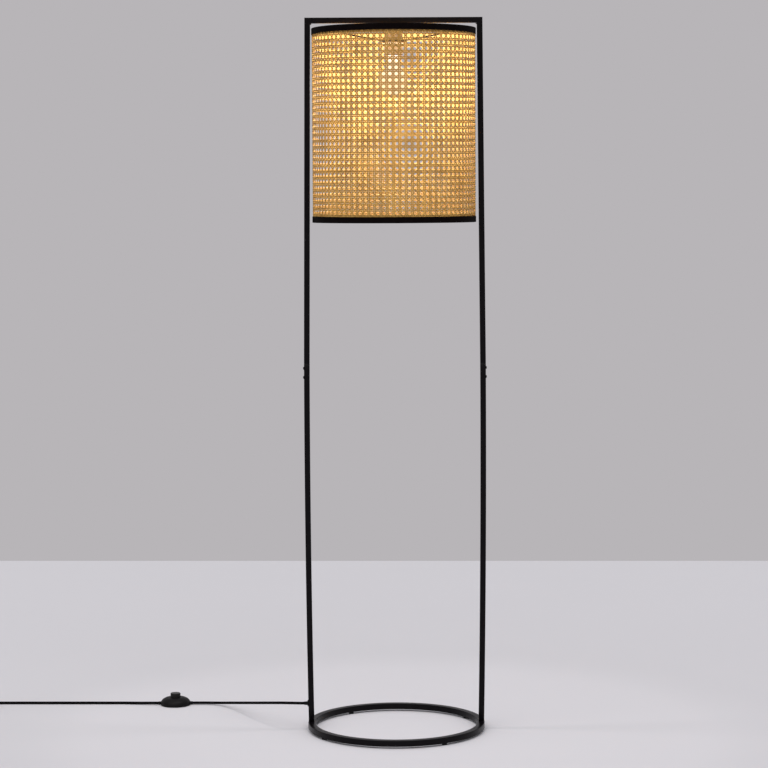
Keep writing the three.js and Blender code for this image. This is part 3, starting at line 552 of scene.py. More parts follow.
ring_profile = block(ring_radius - ring_width, ring_radius, pad_height, ring_top, ring_edge_radius)
place(turned("ring_foot", ring_profile, segments=180), powder, "black_paint", "base_ring")

rubber = finish_material("black_rubber", (0.007, 0.007, 0.007), 0.8, specular=0.1)
colour_by(rubber, noise_on(rubber, 220), (0.3, (0.0055, 0.0055, 0.006)), (0.75, (0.009, 0.009, 0.0095)))
bump_by(rubber, noise_on(rubber, 1200), 0.3, 0.0001)

for k in range(pad_count):
    low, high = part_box(f"foot_pad_{k + 1}")
    centre = (low + high) / 2
    pad = turned(f"pad_{k + 1}", block(0, pad_radius, 0, pad_height, pad_edge), segments=32)
    place(put_at(pad, Vector((centre.x, centre.y, 0))), rubber, "rubber", f"foot_pad_{k + 1}")

# Cane wall of the shade
# Open six-way cane webbing bent to a drum: pairs of upright strands and pairs of level
# strands, with one strand on each diagonal between them. The strands are split peeled
# cane, light tan, each a little different in tone, and light passes a little through them.
wall_radius = 0.1731
wall_foot = 1.1002
wall_height = 0.4085
strand_end_gap = 0.0009
columns = 83
column_pitch = 2 * pi * wall_radius / columns
row_pitch = 0.013
first_hole_height = 1.1205
hole_rows = 29
column_start = -0.00226
strand_width = 0.0023
diagonal_width = 0.0019
strand_thickness = 0.00042
pair_offset = 0.00175
strand_wave = 0.00042
diagonal_wave = 0.00095
back_lift = 0.0064
back_drift = 0.0068
segments_per_hole = 4
strand_seed = 11
strand_tone_spread = 0.3


def new_tree(name, values):
    """A tree with one geometry output and an input for each named value, and its inputs by name."""
    tree = bpy.data.node_groups.new(name, "GeometryNodeTree")
    tree.interface.new_socket("Geometry", in_out="OUTPUT", socket_type="NodeSocketGeometry")
    for label, value in values.items():
        kind = {int: "Int", float: "Float"}.get(type(value), "Material")
        tree.interface.new_socket(label, in_out="INPUT", socket_type=f"NodeSocket{kind}")
    start = tree.nodes.new("NodeGroupInput")
    return tree, {socket.name: Flow(socket) for socket in start.outputs if socket.name}


def wave_of(kind, distance, pitch, height):
    """height times the sine or cosine of distance, with the pitch as its period."""
    return worked(kind, distance * (2 * pi) / pitch) * height


def from_centre(value, pitch):
    """The signed distance of value from the nearest whole number of pitches."""
    return value - worked("ROUND", value / pitch) * pitch


def eased_to_back(around, given, name):
    """An amount that grows smoothly from nothing at the drum's front to all of it at the back."""
    return (1.0 - worked("COSINE", around / given["Radius"])) / 2 * given[name]


def vector_of(tree, x=0.0, y=0.0, z=0.0):
    return node_in(tree, "ShaderNodeCombineXYZ", {0: x, 1: y, 2: z}).outputs[0]


def position_in(tree):
    """The x, y and z of each point of the geometry."""
    position = node_in(tree, "GeometryNodeInputPosition").outputs[0]
    return [Flow(socket) for socket in node_in(tree, "ShaderNodeSeparateXYZ", {0: position}).outputs]


def flat_strand(tree, given, turn, offset):
    """One flat strand with a lens section, along Z or turned along X, moved by offset."""
    strand = node_in(tree, "GeometryNodeMeshCylinder",
                     {"Vertices": 4, "Side Segments": given["Segments"], "Fill Segments": 1,
                      "Radius": 1.0, "Depth": given["Length"]}).outputs["Mesh"]
    size = vector_of(tree, given["Strand width"] / 2, given["Strand thickness"] / 2, 1.0)
    for change in ({"Scale": size}, {"Rotation": (0, turn, 0)}, {"Translation": offset}):
        strand = node_in(tree, "GeometryNodeTransform", {"Geometry": strand, **change}).outputs[0]
    return strand


def joined(tree, strands):
    both = tree.nodes.new("GeometryNodeJoinGeometry")
    for strand in strands:
        tree.links.new(strand, both.inputs[0])
    return both.outputs[0]


def repeated(tree, geometry, given, step):
    """Copies of a geometry along a line, made real, each with a tone of its own."""
    line = node_in(tree, "GeometryNodeMeshLine", {"Count": given["Count"], "Offset": step})
    number = tree.nodes.new("GeometryNodeInputIndex").outputs[0]
    tone = node_in(tree, "FunctionNodeRandomValue", {"ID": number, "Seed": given["Seed"]}, data_type="FLOAT")
    toned = node_in(tree, "GeometryNodeStoreNamedAttribute",
                    {"Geometry": line.outputs[0], "Name": "tone", "Value": tone.outputs[1]},
                    data_type="FLOAT", domain="POINT")
    copies = node_in(tree, "GeometryNodeInstanceOnPoints", {"Points": toned.outputs[0],
                                                            "Instance": geometry})
    return node_in(tree, "GeometryNodeRealizeInstances", {0: copies.outputs[0]}).outputs[0]


def bent_to_drum(tree, geometry, given, around, up, wave):
    """Bends flat strands to the drum, and ends the tree with their material."""
    radius = given["Radius"] + wave - position_in(tree)[1]
    angle = around / given["Radius"]
    point = vector_of(tree, radius * worked("SINE", angle), radius * worked("COSINE", angle) * -1, up)
    for kind, inputs in (("GeometryNodeSetPosition", {"Position": point}),
                         ("GeometryNodeSetShadeSmooth", {}),
                         ("GeometryNodeSetMaterial", {"Material": given["Material"]})):
        geometry = node_in(tree, kind, {0: geometry, **inputs}).outputs[0]
    node_in(tree, "NodeGroupOutput", {0: geometry})
    return tree


def upright_tree(values):
    """Upright pairs, or diagonals when Slant is 1 or -1."""
    tree, given = new_tree("upright_strands", values)
    middle = given["Length"] / 2
    pair = [flat_strand(tree, given, 0, vector_of(tree, given["Pair offset"] * sign, z=middle))
            for sign in (-1, 1)]
    single = worked("COMPARE", given["Pair offset"], 0, 1e-6)
    chosen = node_in(tree, "GeometryNodeSwitch", {"Switch": single, "False": joined(tree, pair),
                                                  "True": pair[0]}, input_type="GEOMETRY")
    strands = repeated(tree, chosen.outputs[0], given, vector_of(tree, given["Column pitch"]))
    x, _, z = position_in(tree)
    height = z + given["Foot"]
    slope = given["Slant"] * (given["Column pitch"] / given["Row pitch"])
    begun = x + worked("ABSOLUTE", given["Slant"]) * (given["Column pitch"] / 2)
    straight = height - given["First row"]
    rough = begun + given["Column start"] + straight * slope
    above_row = straight - eased_to_back(rough, given, "Back lift")
    along = begun + above_row * slope
    side = worked("SIGN", from_centre(x, given["Column pitch"]))
    wave = side * wave_of("SINE", above_row, given["Row pitch"], given["Wave"])
    wave += wave_of("COSINE", along, given["Column pitch"], given["Diagonal wave"])
    placed = along + given["Column start"]
    around = placed + eased_to_back(placed, given, "Back drift")
    return bent_to_drum(tree, strands, given, around, height, wave)


def level_tree(values):
    """Level pairs that run once round the drum and meet at its back."""
    tree, given = new_tree("level_strands", values)
    pair = [flat_strand(tree, given, pi / 2, vector_of(tree, z=given["Pair offset"] * sign))
            for sign in (-1, 1)]
    strands = repeated(tree, joined(tree, pair), given, vector_of(tree, z=given["Row pitch"]))
    x, _, z = position_in(tree)
    side = worked("SIGN", from_centre(z, given["Row pitch"]))
    wave = side * -1 * wave_of("SINE", x, given["Column pitch"], given["Wave"])
    placed = x + given["Column start"]
    around = placed + eased_to_back(placed, given, "Back drift")
    height = z + given["First row"] + eased_to_back(placed, given, "Back lift")
    return bent_to_drum(tree, strands, given, around, height, wave)


def grown(name, tree, values):
    """Runs the tree on an empty mesh and keeps its result as a plain mesh."""
    obj = new_object(name, bpy.data.meshes.new(name))
    modifier = obj.modifiers.new(name, "NODES")
    modifier.node_group = tree
    for item in tree.interface.items_tree:
        if item.in_out == "INPUT":
            modifier[item.identifier] = values[item.name]
    return settled(obj)


def let_light_through(material, colour, share):
    """Mixes thin translucency under the shader, so a lamp behind the strands shows."""
    tree = material.node_tree
    glow = node_in(tree, "ShaderNodeBsdfTranslucent", {"Color": colour})
    mix = node_in(tree, "ShaderNodeMixShader", {"Fac": share, 2: glow.outputs["BSDF"],
                                                1: tree.nodes["Principled BSDF"].outputs["BSDF"]})
    tree.links.new(mix.outputs["Shader"], tree.nodes["Material Output"].inputs["Surface"])


cane = finish_material("peeled_cane", (0.58, 0.31, 0.07), 0.42, specular=0.2)
own_tone = Flow(node_in(cane.node_tree, "ShaderNodeAttribute", attribute_name="tone").outputs["Fac"])
cane_tone = (own_tone - 0.5) * strand_tone_spread + noise_on(cane, 55, 4, (1, 1, 0.35))
cane_colour = colour_by(cane, cane_tone, (0.25, (0.465, 0.25, 0.055)), (0.75, (0.695, 0.415, 0.115)))
roughen_by(cane, noise_on(cane, 300), 0.34, 0.55)
bump_by(cane, noise_on(cane, 1500, 2, (1, 1, 0.15)), 0.3, 0.00012)
let_light_through(cane, cane_colour, 0.12)

weave = {"Radius": wall_radius, "Foot": wall_foot + strand_end_gap,
         "First row": first_hole_height - row_pitch / 2, "Column pitch": column_pitch,
         "Row pitch": row_pitch, "Column start": column_start, "Strand thickness": strand_thickness,
         "Back lift": back_lift, "Back drift": back_drift, "Seed": strand_seed, "Material": cane}
paired = {"Pair offset": pair_offset, "Strand width": strand_width, "Wave": strand_wave}
upright_length = wall_height - 2 * strand_end_gap
upright = {**weave, **paired, "Segments": round(segments_per_hole * upright_length / row_pitch),
           "Count": columns, "Length": upright_length, "Slant": 0.0, "Diagonal wave": 0.0}
level = {**weave, **paired, "Segments": segments_per_hole * columns, "Count": hole_rows + 1,
         "Length": 2 * pi * wall_radius}
uprights = upright_tree(upright)
shade_parts = [grown("cane_uprights", uprights, upright), grown("cane_levels", level_tree(level), level)]
# A strand gets narrower when it is slanted, so a diagonal starts wider by the root of two.
for slant, word in ((1.0, "rising"), (-1.0, "falling")):
    slanted = {**upright, "Pair offset": 0.0, "Strand width": diagonal_width * sqrt(2), "Wave": 0.0,
               "Slant": slant, "Diagonal wave": slant * diagonal_wave}
    shade_parts.append(grown(f"cane_{word}", uprights, slanted))
for part in shade_parts:
    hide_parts("shade_wall")
    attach(part, "lamp")

# Wire rings and spider of the shade
# Two rings of 4 mm steel wire stiffen the drum inside its edges. Three bent spokes join the
# upper ring to a flat hub that sits on the lampholder. All of it is coated black.
shade_edges = ((1.5103, -1, "top"), (1.0993, 1, "bottom"))
wire_radius = 0.002
wire_path = 0.1698
wire_inset = 0.0029
wire_sides = 12
spoke_count = 3
spoke_radius = 0.00175
spoke_root = 0.0263
spoke_bend_reach = 0.045
spoke_bend_rise = 0.002
spoke_bend_share = 0.35
hub_bore = 0.0198
hub_edge = 0.0004

for edge, inwards, word in shade_edges:
    circle = [(wire_path + wire_radius * cos(a), edge + inwards * wire_inset + wire_radius * sin(a))
              for a in full_turn(wire_sides)]
    place(turned(f"wire_ring_{word}", circle, segments=120), powder, "black_paint", f"{word}_wire_ring")

for k in range(spoke_count):
    low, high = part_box(f"spider_spoke_{k + 1}")
    angle = pi / 2 + 2 * pi * k / spoke_count
    out = Vector((cos(angle), sin(angle), 0))
    start = out * spoke_root + Vector((0, 0, low.z + spoke_radius))
    bend = out * spoke_bend_reach + Vector((0, 0, start.z + spoke_bend_rise))
    end = out * wire_path + Vector((0, 0, high.z - spoke_radius))
    line = smooth_path([start, bend.lerp(end, spoke_bend_share), end], spacing=0.01)
    place(round_tube(f"spoke_{k + 1}", line, spoke_radius, wire_sides), powder, "black_paint",
          f"spider_spoke_{k + 1}")

hub_low, hub_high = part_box("spider_hub")
hub_profile = block(hub_bore, hub_high.x, hub_low.z, hub_high.z, hub_edge)
place(turned("hub", hub_profile, segments=64), powder, "black_paint", "spider_hub")

# Edge tapes of the shade
# A black woven tape, 13 mm wide on the outside, is folded over each edge of the drum and
# glued down. It hides the strands' ends and the wire rings. Inside the drum a thin strip of
# tan fibre is glued to the cane behind the tape and laid over the wire ring.
shade_radius = 0.175
tape_thickness = 0.0006
tape_width = 0.013
tape_return = 0.0045
tape_gap = 0.0009
tape_fold_radius = 0.0008
tape_inner = wire_path - wire_radius - tape_gap
strip_thickness = 0.0002
strip_line = [(0.17202, 0.0175), (0.17202, 0.0125), (0.1666, 0.0075), (0.1666, 0.0008)]


def edge_tape(name, edge, inwards):
    """The tape's section: a web over the edge, a wide flap outside and a narrow one inside."""
    web = edge + inwards * tape_thickness
    profile = [(tape_inner, edge), (shade_radius, edge), (shade_radius, edge + inwards * tape_width),
               (shade_radius - tape_thickness, edge + inwards * tape_width),
               (shade_radius - tape_thickness, web), (tape_inner + tape_thickness, web),
               (tape_inner + tape_thickness, edge + inwards * tape_return),
               (tape_inner, edge + inwards * tape_return)]
    return turned(name, rounded(profile, tape_fold_radius, True), segments=160)


tape = finish_material("black_tape", (0.003, 0.0016, 0.0016), 0.75, specular=0.04)
colour_by(tape, noise_on(tape, 120), (0.3, (0.0022, 0.0009, 0.001)), (0.75, (0.0045, 0.0024, 0.0024)))
bump_by(tape, noise_on(tape, 500, 2, (1, 1, 4)), 0.5, 0.0003)
for edge, inwards, word in shade_edges:
    place(edge_tape(f"tape_{word}", edge, inwards), tape, "black_tape", f"{word}_trim")

fibre = finish_material("tan_fibre", (0.38, 0.21, 0.06), 0.7, specular=0.1)
colour_by(fibre, noise_on(fibre, 60, 4, (1, 1, 3)), (0.3, (0.34, 0.18, 0.048)), (0.7, (0.42, 0.24, 0.075)))
bump_by(fibre, noise_on(fibre, 700), 0.3, 0.0001)
for edge, inwards, word in shade_edges:
    outside = [(radius, edge + inwards * depth) for radius, depth in strip_line]
    inside = [(radius - strip_thickness, z) for radius, z in reversed(outside)]
    place(turned(f"strip_{word}", outside + inside, segments=160), fibre, "cane")

# Lampholder
# A light moulded lampholder hangs on a short threaded tube under the top bar. A ribbed
# shade nut clamps the hub of the spider against its flange. Inside are a ceramic insert
# and the brass screw shell with its contact strip. Its lower rim is painted darker as shade.
thread_core = 0.0047
thread_crest = 0.005
thread_pitch = 0.001
thread_flat = 0.0001
tube_bore = 0.0035
holder_radius = 0.0195
holder_wall = 0.002
holder_inside = holder_radius - holder_wall
holder_bore = 0.0155
cap_bore = 0.0053
cap_collar_radius = 0.009
cap_collar_height = 0.005
cap_shoulder_radius = 0.0142
cap_shoulder_drop = 0.006
cap_roof_height = 0.0125
cap_edge = 0.0022
flange_gap = 0.0003
flange_height = 0.003
insert_depth = 0.013
body_edge = 0.0002
# Painted shade: how far up the body's lower rim is coloured darker.
shaded_rim_height = 0.004
shaded_rim_start = 0.0005
nut_ribs = 36
nut_rib_depth = 0.0007
nut_rib_lead = 0.0006
nut_rim_height = 0.004
nut_rim_edge = 0.0005


def height_in(material, low, high, top=1.0):
    """A value that rises from 0 at the low height to top at the high one."""
    tree = material.node_tree
    point = node_in(tree, "ShaderNodeTexCoord").outputs["Object"]
    height = node_in(tree, "ShaderNodeSeparateXYZ", {0: point}).outputs["Z"]
    span = node_in(tree, "ShaderNodeMapRange", {"Value": height, "From Min": low, "From Max": high,
                                                "To Max": top})
    return Flow(span.outputs["Result"])


body_low, body_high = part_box("lampholder_body")
ivory_plastic = finish_material("ivory_moulding", (0.42, 0.33, 0.2), 0.5, specular=0.15)
# Painted shade: the body is coloured darker over its lowest few millimetres, fading out above.
rim_unshaded = height_in(ivory_plastic, body_low.z + shaded_rim_start, body_low.z + shaded_rim_height, top=0.7)
colour_by(ivory_plastic, noise_on(ivory_plastic, 150) * 0.3 + rim_unshaded,
          (0.2, (0.02, 0.011, 0.005)), (0.92, (0.43, 0.34, 0.21)))
roughen_by(ivory_plastic, noise_on(ivory_plastic, 60), 0.38, 0.52)
bump_by(ivory_plastic, noise_on(ivory_plastic, 1600, 2), 0.2, 0.0001)

bar_underside = lamp_height - 2 * tube_half
tube_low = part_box("hanger_tube")[0].z
threads = []
for k in range(round((bar_underside - tube_low) / thread_pitch)):
    z = tube_low + k * thread_pitch
    threads += [(thread_core, z + thread_flat), (thread_crest, z + thread_pitch / 2)]
hanger_profile = [(tube_bore, tube_low), *threads, (thread_core, bar_underside), (tube_bore, bar_underside)]
place(turned("threaded_tube", hanger_profile, segments=32), bare_steel, "bare_steel", "hanger_tube")

cap_bottom, cap_top = (corner.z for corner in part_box("lampholder_cap"))
cap_profile = [(cap_bore, cap_top), (cap_collar_radius, cap_top),
               (cap_collar_radius, cap_top - cap_collar_height),
               (cap_shoulder_radius, cap_top - cap_shoulder_drop),
               (holder_radius, cap_top - cap_roof_height), (holder_radius, cap_bottom),
               (holder_inside, cap_bottom), (holder_inside, cap_top - cap_roof_height),
               (cap_shoulder_radius - holder_wall, cap_top - cap_shoulder_drop - holder_wall),
               (cap_bore, cap_top - cap_collar_height - holder_wall)]
place(turned("holder_cap", rounded(cap_profile, cap_edge, True), segments=64), ivory_plastic,
      "ivory_plastic", "lampholder_cap")

flange_low = hub_high.z + flange_gap
body_profile = [(holder_bore, body_low.z), (holder_radius, body_low.z), (holder_radius, flange_low),
                (body_high.x, flange_low), (body_high.x, flange_low + flange_height),
                (holder_radius, flange_low + flange_height), (holder_radius, body_high.z),
                (holder_inside, body_high.z), (holder_inside, body_high.z - insert_depth),
                (holder_bore, body_high.z - insert_depth)]
place(turned("holder_body", rounded(body_profile, body_edge, True), segments=64), ivory_plastic,
      "ivory_plastic", "lampholder_body")


def ribbed_nut():
    """The shade nut: a plain rim on top and gripping ribs below."""
    low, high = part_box("shade_nut")
    rim_low = high.z - nut_rim_height
    waist = (hub_bore + high.x) / 2 - nut_rib_depth
    rows = [(low.z, hub_bore, 0), (low.z, waist, 0), (low.z + nut_rib_lead, waist, nut_rib_depth),
            (rim_low - nut_rib_lead, waist, nut_rib_depth), (rim_low, waist, 0),
            (rim_low, high.x - nut_rim_edge, 0), (rim_low + nut_rim_edge, high.x, 0),
            (high.z - nut_rim_edge, high.x, 0), (high.z, high.x - nut_rim_edge, 0),
            (high.z, hub_bore, 0)]
    on_rib = [False, True, True, False] * nut_ribs
    bm = bmesh.new()
    skin(bm, [level_ring(bm, z, [radius + on * rib for on in on_rib]) for z, radius, rib in rows], True)
    return to_object("nut_of_shade", bm)


place(ribbed_nut(), ivory_plastic, "ivory_plastic", "shade_nut")

ceramic = finish_material("glazed_ceramic", (0.78, 0.75, 0.68), 0.25)
colour_by(ceramic, noise_on(ceramic, 80), (0.3, (0.74, 0.71, 0.64)), (0.7, (0.82, 0.79, 0.73)))
brass = finish_material("plain_brass", (0.7, 0.48, 0.19), 0.3, metallic=1)
colour_by(brass, noise_on(brass, 120), (0.3, (0.62, 0.41, 0.15)), (0.7, (0.76, 0.54, 0.24)))
roughen_by(brass, noise_on(brass, 240), 0.22, 0.42)
paint_solids(ceramic, "lampholder_insert")
paint_solids(brass, "screw_shell", "centre_contact")

# Bulb
# A warm opal bulb with a screw cap. Its glass is white inside and glows evenly when the
# lamp is on. The cap is zinc-plated steel and rolled with a coarse thread.
bulb_radius = 0.030
bulb_wall = 0.001
neck_radius = 0.0122
shoulder_angle = pi / 5
bulb_steps = 20
neck_steps = 10
screw_cap_radius = 0.0129
screw_cap_lip = 0.0002
screw_cap_wall = 0.0005
screw_thread_depth = 0.0003
screw_thread_rise = 0.0035
screw_thread_turns = 5
screw_thread_steps = 8
screw_thread_start = 0.002
end_cone_height = 0.0032
contact_radius = 0.0051
bulb_low, bulb_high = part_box("bulb_glass")
screw_cap_low, screw_cap_high = (corner.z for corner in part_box("bulb_screw_cap"))
bulb_middle = bulb_low.z + bulb_radius


def glass_line(wall):
    """The glass from its lowest point to its open neck, drawn in by a wall."""
    radius, neck = bulb_radius - wall, neck_radius - wall
    points = [(radius * sin(a), bulb_middle - radius * cos(a))
              for a in ((pi / 2 + shoulder_angle) * k / bulb_steps for k in range(bulb_steps + 1))]
    points[0] = (0, points[0][1])
    start = Vector(points[-1])
    end = Vector((neck, screw_cap_low))
    handle = (end.y - start.y) / 2
    first = start + handle * Vector((-sin(shoulder_angle), cos(shoulder_angle)))
    second = end - Vector((0, handle))
    for k in range(1, neck_steps + 1):
        t = k / neck_steps
        a, b, c = start.lerp(first, t), first.lerp(second, t), second.lerp(end, t)
        points.append(tuple(a.lerp(b, t).lerp(b.lerp(c, t), t)))
    return points + [(neck, bulb_high.z)]


opal = finish_material("opal_glass_lit", (0.5, 0.46, 0.4), 0.25)
opal_shader = opal.node_tree.nodes["Principled BSDF"]
opal_shader.inputs["Emission Color"].default_value = (1.0, 0.86, 0.58, 1)
opal_shader.inputs["Emission Strength"].default_value = 0.6
colour_by(opal, noise_on(opal, 30), (0.3, (0.48, 0.44, 0.38)), (0.7, (0.52, 0.48, 0.42)))
glass = turned("glass_bulb", glass_line(0) + glass_line(bulb_wall)[::-1], segments=64)
glass.visible_shadow = False
place(glass, opal, "opal_glass", "bulb_glass")

thread_profile = [(screw_cap_radius - screw_cap_lip, screw_cap_low)]
for k in range(screw_thread_turns * screw_thread_steps + 1):
    wave = screw_thread_depth * cos(2 * pi * k / screw_thread_steps)
    thread_profile.append((screw_cap_radius + wave,
                           screw_cap_low + screw_thread_start + k * screw_thread_rise / screw_thread_steps))
thread_profile += [(screw_cap_radius, screw_cap_high - end_cone_height), (contact_radius, screw_cap_high),
                   (contact_radius, screw_cap_high - screw_cap_wall),
                   (screw_cap_radius - screw_cap_wall, screw_cap_high - end_cone_height - screw_cap_wall)]
place(turned("screw_cap_of_bulb", thread_profile), bare_steel, "bare_steel", "bulb_screw_cap")
paint_solids(bare_steel, "bulb_contact")
paint_solids(ceramic, "bulb_stem")
paint_solids(brass, "bulb_filament")

bulb_light = new_object("bulb_light", bpy.data.lights.new("bulb_light", "POINT"))
bulb_light.data.energy = 9.2
bulb_light.data.color = (1.0, 0.96, 0.98)
bulb_light.data.shadow_soft_size = bulb_radius - bulb_wall
bulb_light.location = (0, 0, bulb_middle)

# Gland and inner lead
# A soft black gland holds the cord in the left post: a flange outside, a lip inside, and a
# sleeve that tapers over the cord. Inside the frame the lead runs up to the lampholder.
gland_core_radius = 0.0042
gland_core_depth = 0.002
gland_flange_radius = 0.0075
gland_flange_height = 0.0016
gland_flange_slope = 0.0006
gland_fillet = 0.0002
gland_neck_radius = 0.004
gland_neck_height = 0.002
gland_nose_height = 0.008
gland_edge = 0.0004
sleeve_tip_radius = 0.00345

gland_low, gland_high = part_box("cord_gland")
gland_tip = -gland_low.x
gland_seat = gland_tip - gland_nose_height - gland_flange_height
neck_low = gland_seat + gland_flange_height
gland_profile = [(0, gland_seat - gland_core_depth), (gland_core_radius, gland_seat - gland_core_depth),
                 (gland_core_radius, gland_seat), (gland_flange_radius, gland_seat),
                 (gland_flange_radius - gland_flange_slope, neck_low),
                 (gland_neck_radius, neck_low + gland_fillet),
                 (gland_neck_radius, neck_low + gland_neck_height), (sleeve_tip_radius, gland_tip),
                 (cord_radius, gland_tip), (0, gland_tip)]
gland = turned("gland", rounded(gland_profile, gland_edge), segments=40)
place(put_at(gland, Vector((0, 0, (gland_low.z + gland_high.z) / 2)), -1), rubber, "rubber", "cord_gland")
paint_solids(sheath, "inner_lead")

# Foot switch
# A low round pedal switch of black plastic, 68 mm across, with a domed cover, a flat base
# on a rubber sole, and a round button on top. Soft sleeves lead the cord in and out.
switch_radius = 0.034
crown_radius = 0.0125
skirt_low = 0.001
skirt_top = 0.004
cover_top = 0.0186
cover_wall = 0.002
cover_edge = 0.0005
skirt_chamfer = 0.0004
cover_hole_radius = 0.0116
base_radius = 0.0317
base_edge = 0.0004
button_radius = 0.0113
button_top = 0.028
button_wall = 0.0016
button_roof = 0.0018
button_rim_width = 0.002
button_rim_height = 0.0014
button_crown = [(0, 0.0014), (0.0004, 0.0007), (0.0012, 0.0003)]
button_flat_share = 0.6
button_dip = 0.0001
button_stem_radius = 0.0022
button_stem_low = 0.0132
# Painted highlight: the band near the button's top that is coloured lighter.
lit_top_depth = 0.0012
lit_top_end = 0.0002
button_low, button_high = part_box("switch_button")
switch_at = Vector(((button_low.x + button_high.x) / 2, (button_low.y + button_high.y) / 2, 0))


def dome_line(wall, steps=14):
    """The side of the cover from its skirt to its crown, drawn in by a wall."""
    across, height = switch_radius - crown_radius - wall, cover_top - skirt_top - wall
    return [(crown_radius + across * cos(a), skirt_top + height * sin(a))
            for a in (pi / 2 * k / steps for k in range(steps + 1))]


black_plastic = finish_material("black_moulding", (0.0045, 0.004, 0.0045), 0.42, specular=0.12)
colour_by(black_plastic, noise_on(black_plastic, 150), (0.3, (0.0036, 0.003, 0.0034)),
          (0.72, (0.0056, 0.005, 0.0055)))
roughen_by(black_plastic, noise_on(black_plastic, 60), 0.36, 0.5)
bump_by(black_plastic, noise_on(black_plastic, 1600, 2), 0.2, 0.0001)

cover_profile = [(switch_radius - skirt_chamfer, skirt_low), (switch_radius, skirt_low + cover_edge),
                 *dome_line(0), (cover_hole_radius + cover_edge, cover_top),
                 (cover_hole_radius, cover_top - cover_edge), (cover_hole_radius, cover_top - cover_wall),
                 *dome_line(cover_wall)[::-1], (switch_radius - cover_wall, skirt_low)]
cover = turned("switch_dome", cover_profile, segments=96, sharp_degrees=30)
place(put_at(cover, switch_at), black_plastic, "black_plastic", "switch_cover")

base_low, base_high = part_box("switch_base")
base = turned("switch_base_plate", block(0, base_radius, base_low.z, base_high.z, base_edge), segments=96)
place(put_at(base, switch_at), black_plastic, "black_plastic", "switch_base")

button_plastic = finish_material("button_moulding", (0.02, 0.019, 0.019), 0.5, specular=0.12)
# Painted highlight: the button is coloured lighter towards its top than on its sides.
lit_top = height_in(button_plastic, button_top - lit_top_depth, button_top - lit_top_end)
colour_by(button_plastic, noise_on(button_plastic, 180) * 0.3 + lit_top, (0.1, (0.005, 0.0045, 0.0045)),
          (1, (0.06, 0.058, 0.058)))
bump_by(button_plastic, noise_on(button_plastic, 1500, 2), 0.3, 0.00012)
button_inside = button_radius - button_wall
rim_radius = button_radius + button_rim_width
rim_top = button_low.z + button_rim_height
button_profile = [(0, button_stem_low), (button_stem_radius, button_stem_low),
                  (button_stem_radius, button_top - button_roof),
                  (button_inside, button_top - button_roof), (button_inside, button_low.z),
                  (rim_radius, button_low.z), (rim_radius, rim_top), (button_radius, rim_top),
                  *((button_radius - inwards, button_top - down) for inwards, down in button_crown),
                  (button_radius * button_flat_share, button_top - button_dip), (0, button_top)]
button = turned("foot_button", button_profile, segments=64)
place(put_at(button, switch_at), button_plastic, "switch_button", "switch_button", body="button")

sleeve_root_share = 0.2
sleeve_groove_shares = (0.25, 0.6)
sleeve_groove = [(0, 0), (0.00035, 0.0004), (0.00035, 0.0013), (0.00005, 0.0017)]
sleeve_tip_edge = (0.0003, 0.0004)
switch_sleeve_start = 0.029
switch_sleeve_length = 0.01
switch_sleeve_radius = 0.004


def sleeve(name, start, length, root, grooves):
    """A sleeve that tapers to its tip, with a few shallow grooves across it."""
    end = start + length
    profile = [(0, start), (root, start), (root, start + sleeve_root_share * length)]
    for k in range(grooves):
        first, span = sleeve_groove_shares
        share = first + span * k / grooves
        radius = root + (sleeve_tip_radius - root) * share
        profile += [(radius - depth, start + share * length + along) for depth, along in sleeve_groove]
    inwards, back = sleeve_tip_edge
    profile += [(sleeve_tip_radius, end - back), (sleeve_tip_radius - inwards, end), (0, end)]
    return turned(name, profile, segments=36)


for side, word in ((-1, "out"), (1, "in")):
    obj = sleeve(f"sleeve_{word}", switch_sleeve_start, switch_sleeve_length, switch_sleeve_radius, 2)
    put_at(obj, switch_at + Vector((0, 0, route_to_coil[0][2])), side)
    place(obj, rubber, "rubber", f"switch_relief_{word}")

paint_solids(rubber, "switch_pad")
paint_solids(bare_steel, "switch_spring", "switch_screw_in", "switch_screw_out")
paint_solids(ceramic, "switch_mechanism")
paint_solids(brass, "switch_terminal_in", "switch_terminal_out")

# Plug and tie
# A flat black two-pin plug is moulded on the cord's end and lies beside the coil. A thin
# black strap holds the turns of the coil together.
plug_edge = 0.0022
strap_edge = 0.0002
plug_sleeve_radius = 0.0052
pin_radius = 0.002
pin_tip_radius = 0.001
pin_tip_length = 0.0012
pin_edge = 0.0006
plug_low, plug_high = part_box("plug_body")
plug_middle = (plug_low + plug_high) / 2


def softened(name, node, width, segments):
    """A merged copy of a CAD solid with rounded edges."""
    bm = bmesh.new()
    bm.from_mesh(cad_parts[node].data)
    bmesh.ops.remove_doubles(bm, verts=bm.verts, dist=1e-6)
    bmesh.ops.dissolve_limit(bm, angle_limit=radians(1), verts=bm.verts, edges=bm.edges)
    sharp = [e for e in bm.edges if len(e.link_faces) == 2 and e.calc_face_angle(0) > radians(20)]
    bmesh.ops.bevel(bm, geom=sharp, offset=width, segments=segments, affect="EDGES", profile=0.5)
    return to_object(name, bm)


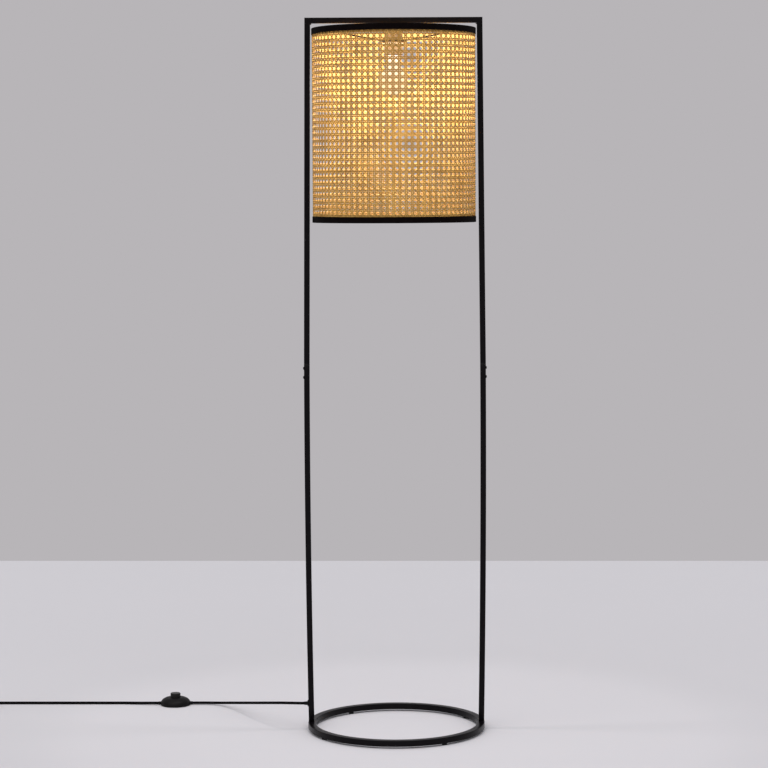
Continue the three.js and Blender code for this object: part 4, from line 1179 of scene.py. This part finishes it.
place(softened("plug", "plug_body", plug_edge, 4), black_plastic, "black_plastic", "plug_body")
place(softened("coil_strap", "cord_tie", strap_edge, 2), black_plastic, "black_plastic", "cord_tie")
relief_low, relief_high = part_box("plug_relief")
relief = sleeve("plug_sleeve", 0, relief_high.x - relief_low.x, plug_sleeve_radius, 4)
put_at(relief, Vector((relief_low.x, plug_middle.y, plug_middle.z)), 1)
place(relief, black_plastic, "black_plastic", "plug_relief")
for word in ("front", "back"):
    low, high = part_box(f"plug_pin_{word}")
    length = high.x - low.x
    pin_profile = rounded([(0, 0), (pin_radius, 0), (pin_radius, length - pin_tip_length),
                           (pin_tip_radius, length), (0, length)], pin_edge)
    pin = turned(f"pin_{word}", pin_profile, segments=28)
    put_at(pin, Vector((high.x, (low.y + high.y) / 2, plug_middle.z)), -1)
    place(pin, brass, "brass", f"plug_pin_{word}")

round(path_length(first_path), 3)
round(path_length(second_path), 3)

# Room
# A pale smooth floor, with a light grey background behind its far edge, and soft light
# from above and from the left.
floor_reach = 9
floor_far_right = 2.083
floor_far_left = 2.675
floor_mesh = bpy.data.meshes.new("floor")
floor_mesh.from_pydata([(-floor_reach, -floor_reach, 0), (floor_reach, -floor_reach, 0),
                        (floor_reach, floor_far_right, 0), (-floor_reach, floor_far_left, 0)],
                       [], [(0, 1, 2, 3)])
floor = new_object("floor", floor_mesh)
floor_paint = finish_material("floor_paint", (0.63, 0.612, 0.632), 0.8, specular=0)
colour_by(floor_paint, noise_on(floor_paint, 1.5), (0.3, (0.628, 0.61, 0.63)), (0.7, (0.634, 0.616, 0.636)))
floor_mesh.materials.append(floor_paint)

world = bpy.data.worlds.new("room")
bpy.context.scene.world = world
world.use_nodes = True
room = world.node_tree
room.nodes.clear()
lighting = node_in(room, "ShaderNodeBackground", {"Color": (0.95, 0.96, 1.0, 1), "Strength": 0.64})
seen = node_in(room, "ShaderNodeBackground", {"Color": (0.479, 0.462, 0.479, 1)})
rays = node_in(room, "ShaderNodeLightPath").outputs
straight = Flow(rays["Is Camera Ray"])
for kind in ("Is Glossy Ray", "Is Transmission Ray"):
    straight = worked("MAXIMUM", straight, rays[kind])
mix = node_in(room, "ShaderNodeMixShader", {"Fac": straight, 1: lighting.outputs[0], 2: seen.outputs[0]})
node_in(room, "ShaderNodeOutputWorld", {"Surface": mix.outputs[0]})

sun = new_object("soft_key", bpy.data.lights.new("soft_key", "SUN"))
sun.data.energy = 1.36
sun.data.angle = radians(70)
sun.rotation_euler = (radians(32), radians(-8), 0)
